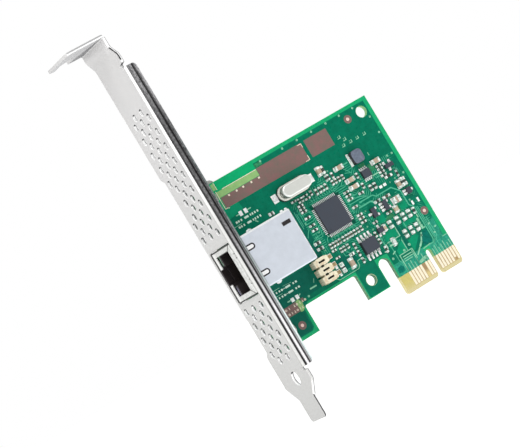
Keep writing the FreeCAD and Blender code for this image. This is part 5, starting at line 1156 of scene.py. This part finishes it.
def m_lamp(name, color):
    m = Mat(name, rough=0.25, spec=0.5)
    n = m.noise(2.2, 3, 0.5)
    m.color(m.mix(m.rng(n, 0.3, 0.7, 0, 1), scaled(color, 0.85), scaled(color, 1.15)))
    m.rough(m.rng(n, 0.3, 0.7, 0.22, 0.34))
    # painted glow: faint emission, brighter on the ribs
    ribs = m.math("SINE", m.math("MULTIPLY", m.math("ADD", m.xyz()[1], m.math("MULTIPLY", m.xyz()[2], 0.15)), 9.0))
    m.put(m.b.inputs["Emission Color"], m.mix(m.rng(ribs, -0.4, 0.6, 0, 1), scaled(color, 0.15), scaled(color, 1.0)))
    m.b.inputs["Emission Strength"].default_value = 0.26
    m.bump(m.noise(8.0, 2), 0.08, 0.00003)
    return m.m


def m_screw():
    m = Mat("screw_zinc", rough=0.32, metal=0.85)
    n = m.noise(6.0, 3)
    m.color(m.mix(m.rng(n, 0.3, 0.7, 0, 1), (0.52, 0.52, 0.50), (0.74, 0.74, 0.72)))
    m.rough(m.rng(n, 0.3, 0.7, 0.28, 0.42))
    m.bump(m.noise(3.0, 3, 0.6, (4, 1, 4)), 0.2, 0.00005)
    return m.m


def dress_all():
    # near-white and partly metallic: partly painted reflection of the white surroundings
    lead = m_solder("tinned_metal", (0.86, 0.88, 0.86), 0.30, 0.3)
    cap_end = m_cap_end()
    epoxy = m_epoxy()
    table = {
        "circuit_board": m_laminate(), "edge_contacts": m_gold(), "bracket": m_nickel(), "bracket_screws": m_screw(),
        "jack_shield": m_tin(), "jack_housing": m_jack_plastic(),
        "jack_contacts": m_plain("contact_springs", (0.80, 0.60, 0.24), 0.26, 0.85),
        "link_lamp": m_lamp("lamp_grey", (0.62, 0.60, 0.78)), "activity_lamp": m_lamp("lamp_green", (0.52, 0.80, 0.60)),
        "lamp_leads": lead, "magnetics_board": m_mask("magnetics_mask", (0.02, 0.16, 0.06)),
        "transformer_cores": m_plain("ferrite_core", (0.045, 0.042, 0.045), 0.6, bump=0.2), "transformer_windings": m_windings(),
        # crystal seat near black; its rim round the can is partly painted shadow of the can
        "jack_pins": lead, "crystal_base": m_plain("crystal_seat", (0.012, 0.012, 0.012), 0.5),
        "crystal_can": m_can(), "crystal_leads": lead, "controller_body": epoxy, "controller_leads": lead,
        "flash_body": epoxy, "flash_leads": lead, "regulator_body": epoxy, "regulator_leads": lead,
        "transistor_bodies": epoxy, "transistor_leads": lead,
        "inductor_core": m_ferrite(),
        "inductor_terminals": cap_end, "moulded_blocks": m_block(),
        "block_terminals": m_plain("terminal_brass", (0.46, 0.34, 0.17), 0.35, 0.5, amount=0.35, scale=1.4),
        "chip_capacitors": m_ceramic("ceramic_large", (0.40, 0.31, 0.23), (0.50, 0.42, 0.30), (49.1, 50.9, 13.5, 16.3, (0.62, 0.70, 0.68))), "chip_capacitor_ends": cap_end,
        "small_capacitors": m_ceramic("ceramic_small", (0.030, 0.065, 0.042), (0.13, 0.105, 0.075)), "small_capacitor_ends": cap_end,
        "chip_resistors": m_ceramic("resistor_glaze", (0.028, 0.045, 0.038), (0.055, 0.075, 0.062), (50.9, 59.9, 13.8, 21.0, (0.045, 0.155, 0.105))), "chip_resistor_ends": cap_end,
    }
    for node, mat in table.items():
        dress(node, mat)


camera()
light_up()
dress_all()
print_front()
solder_work()
print_back()
floor()
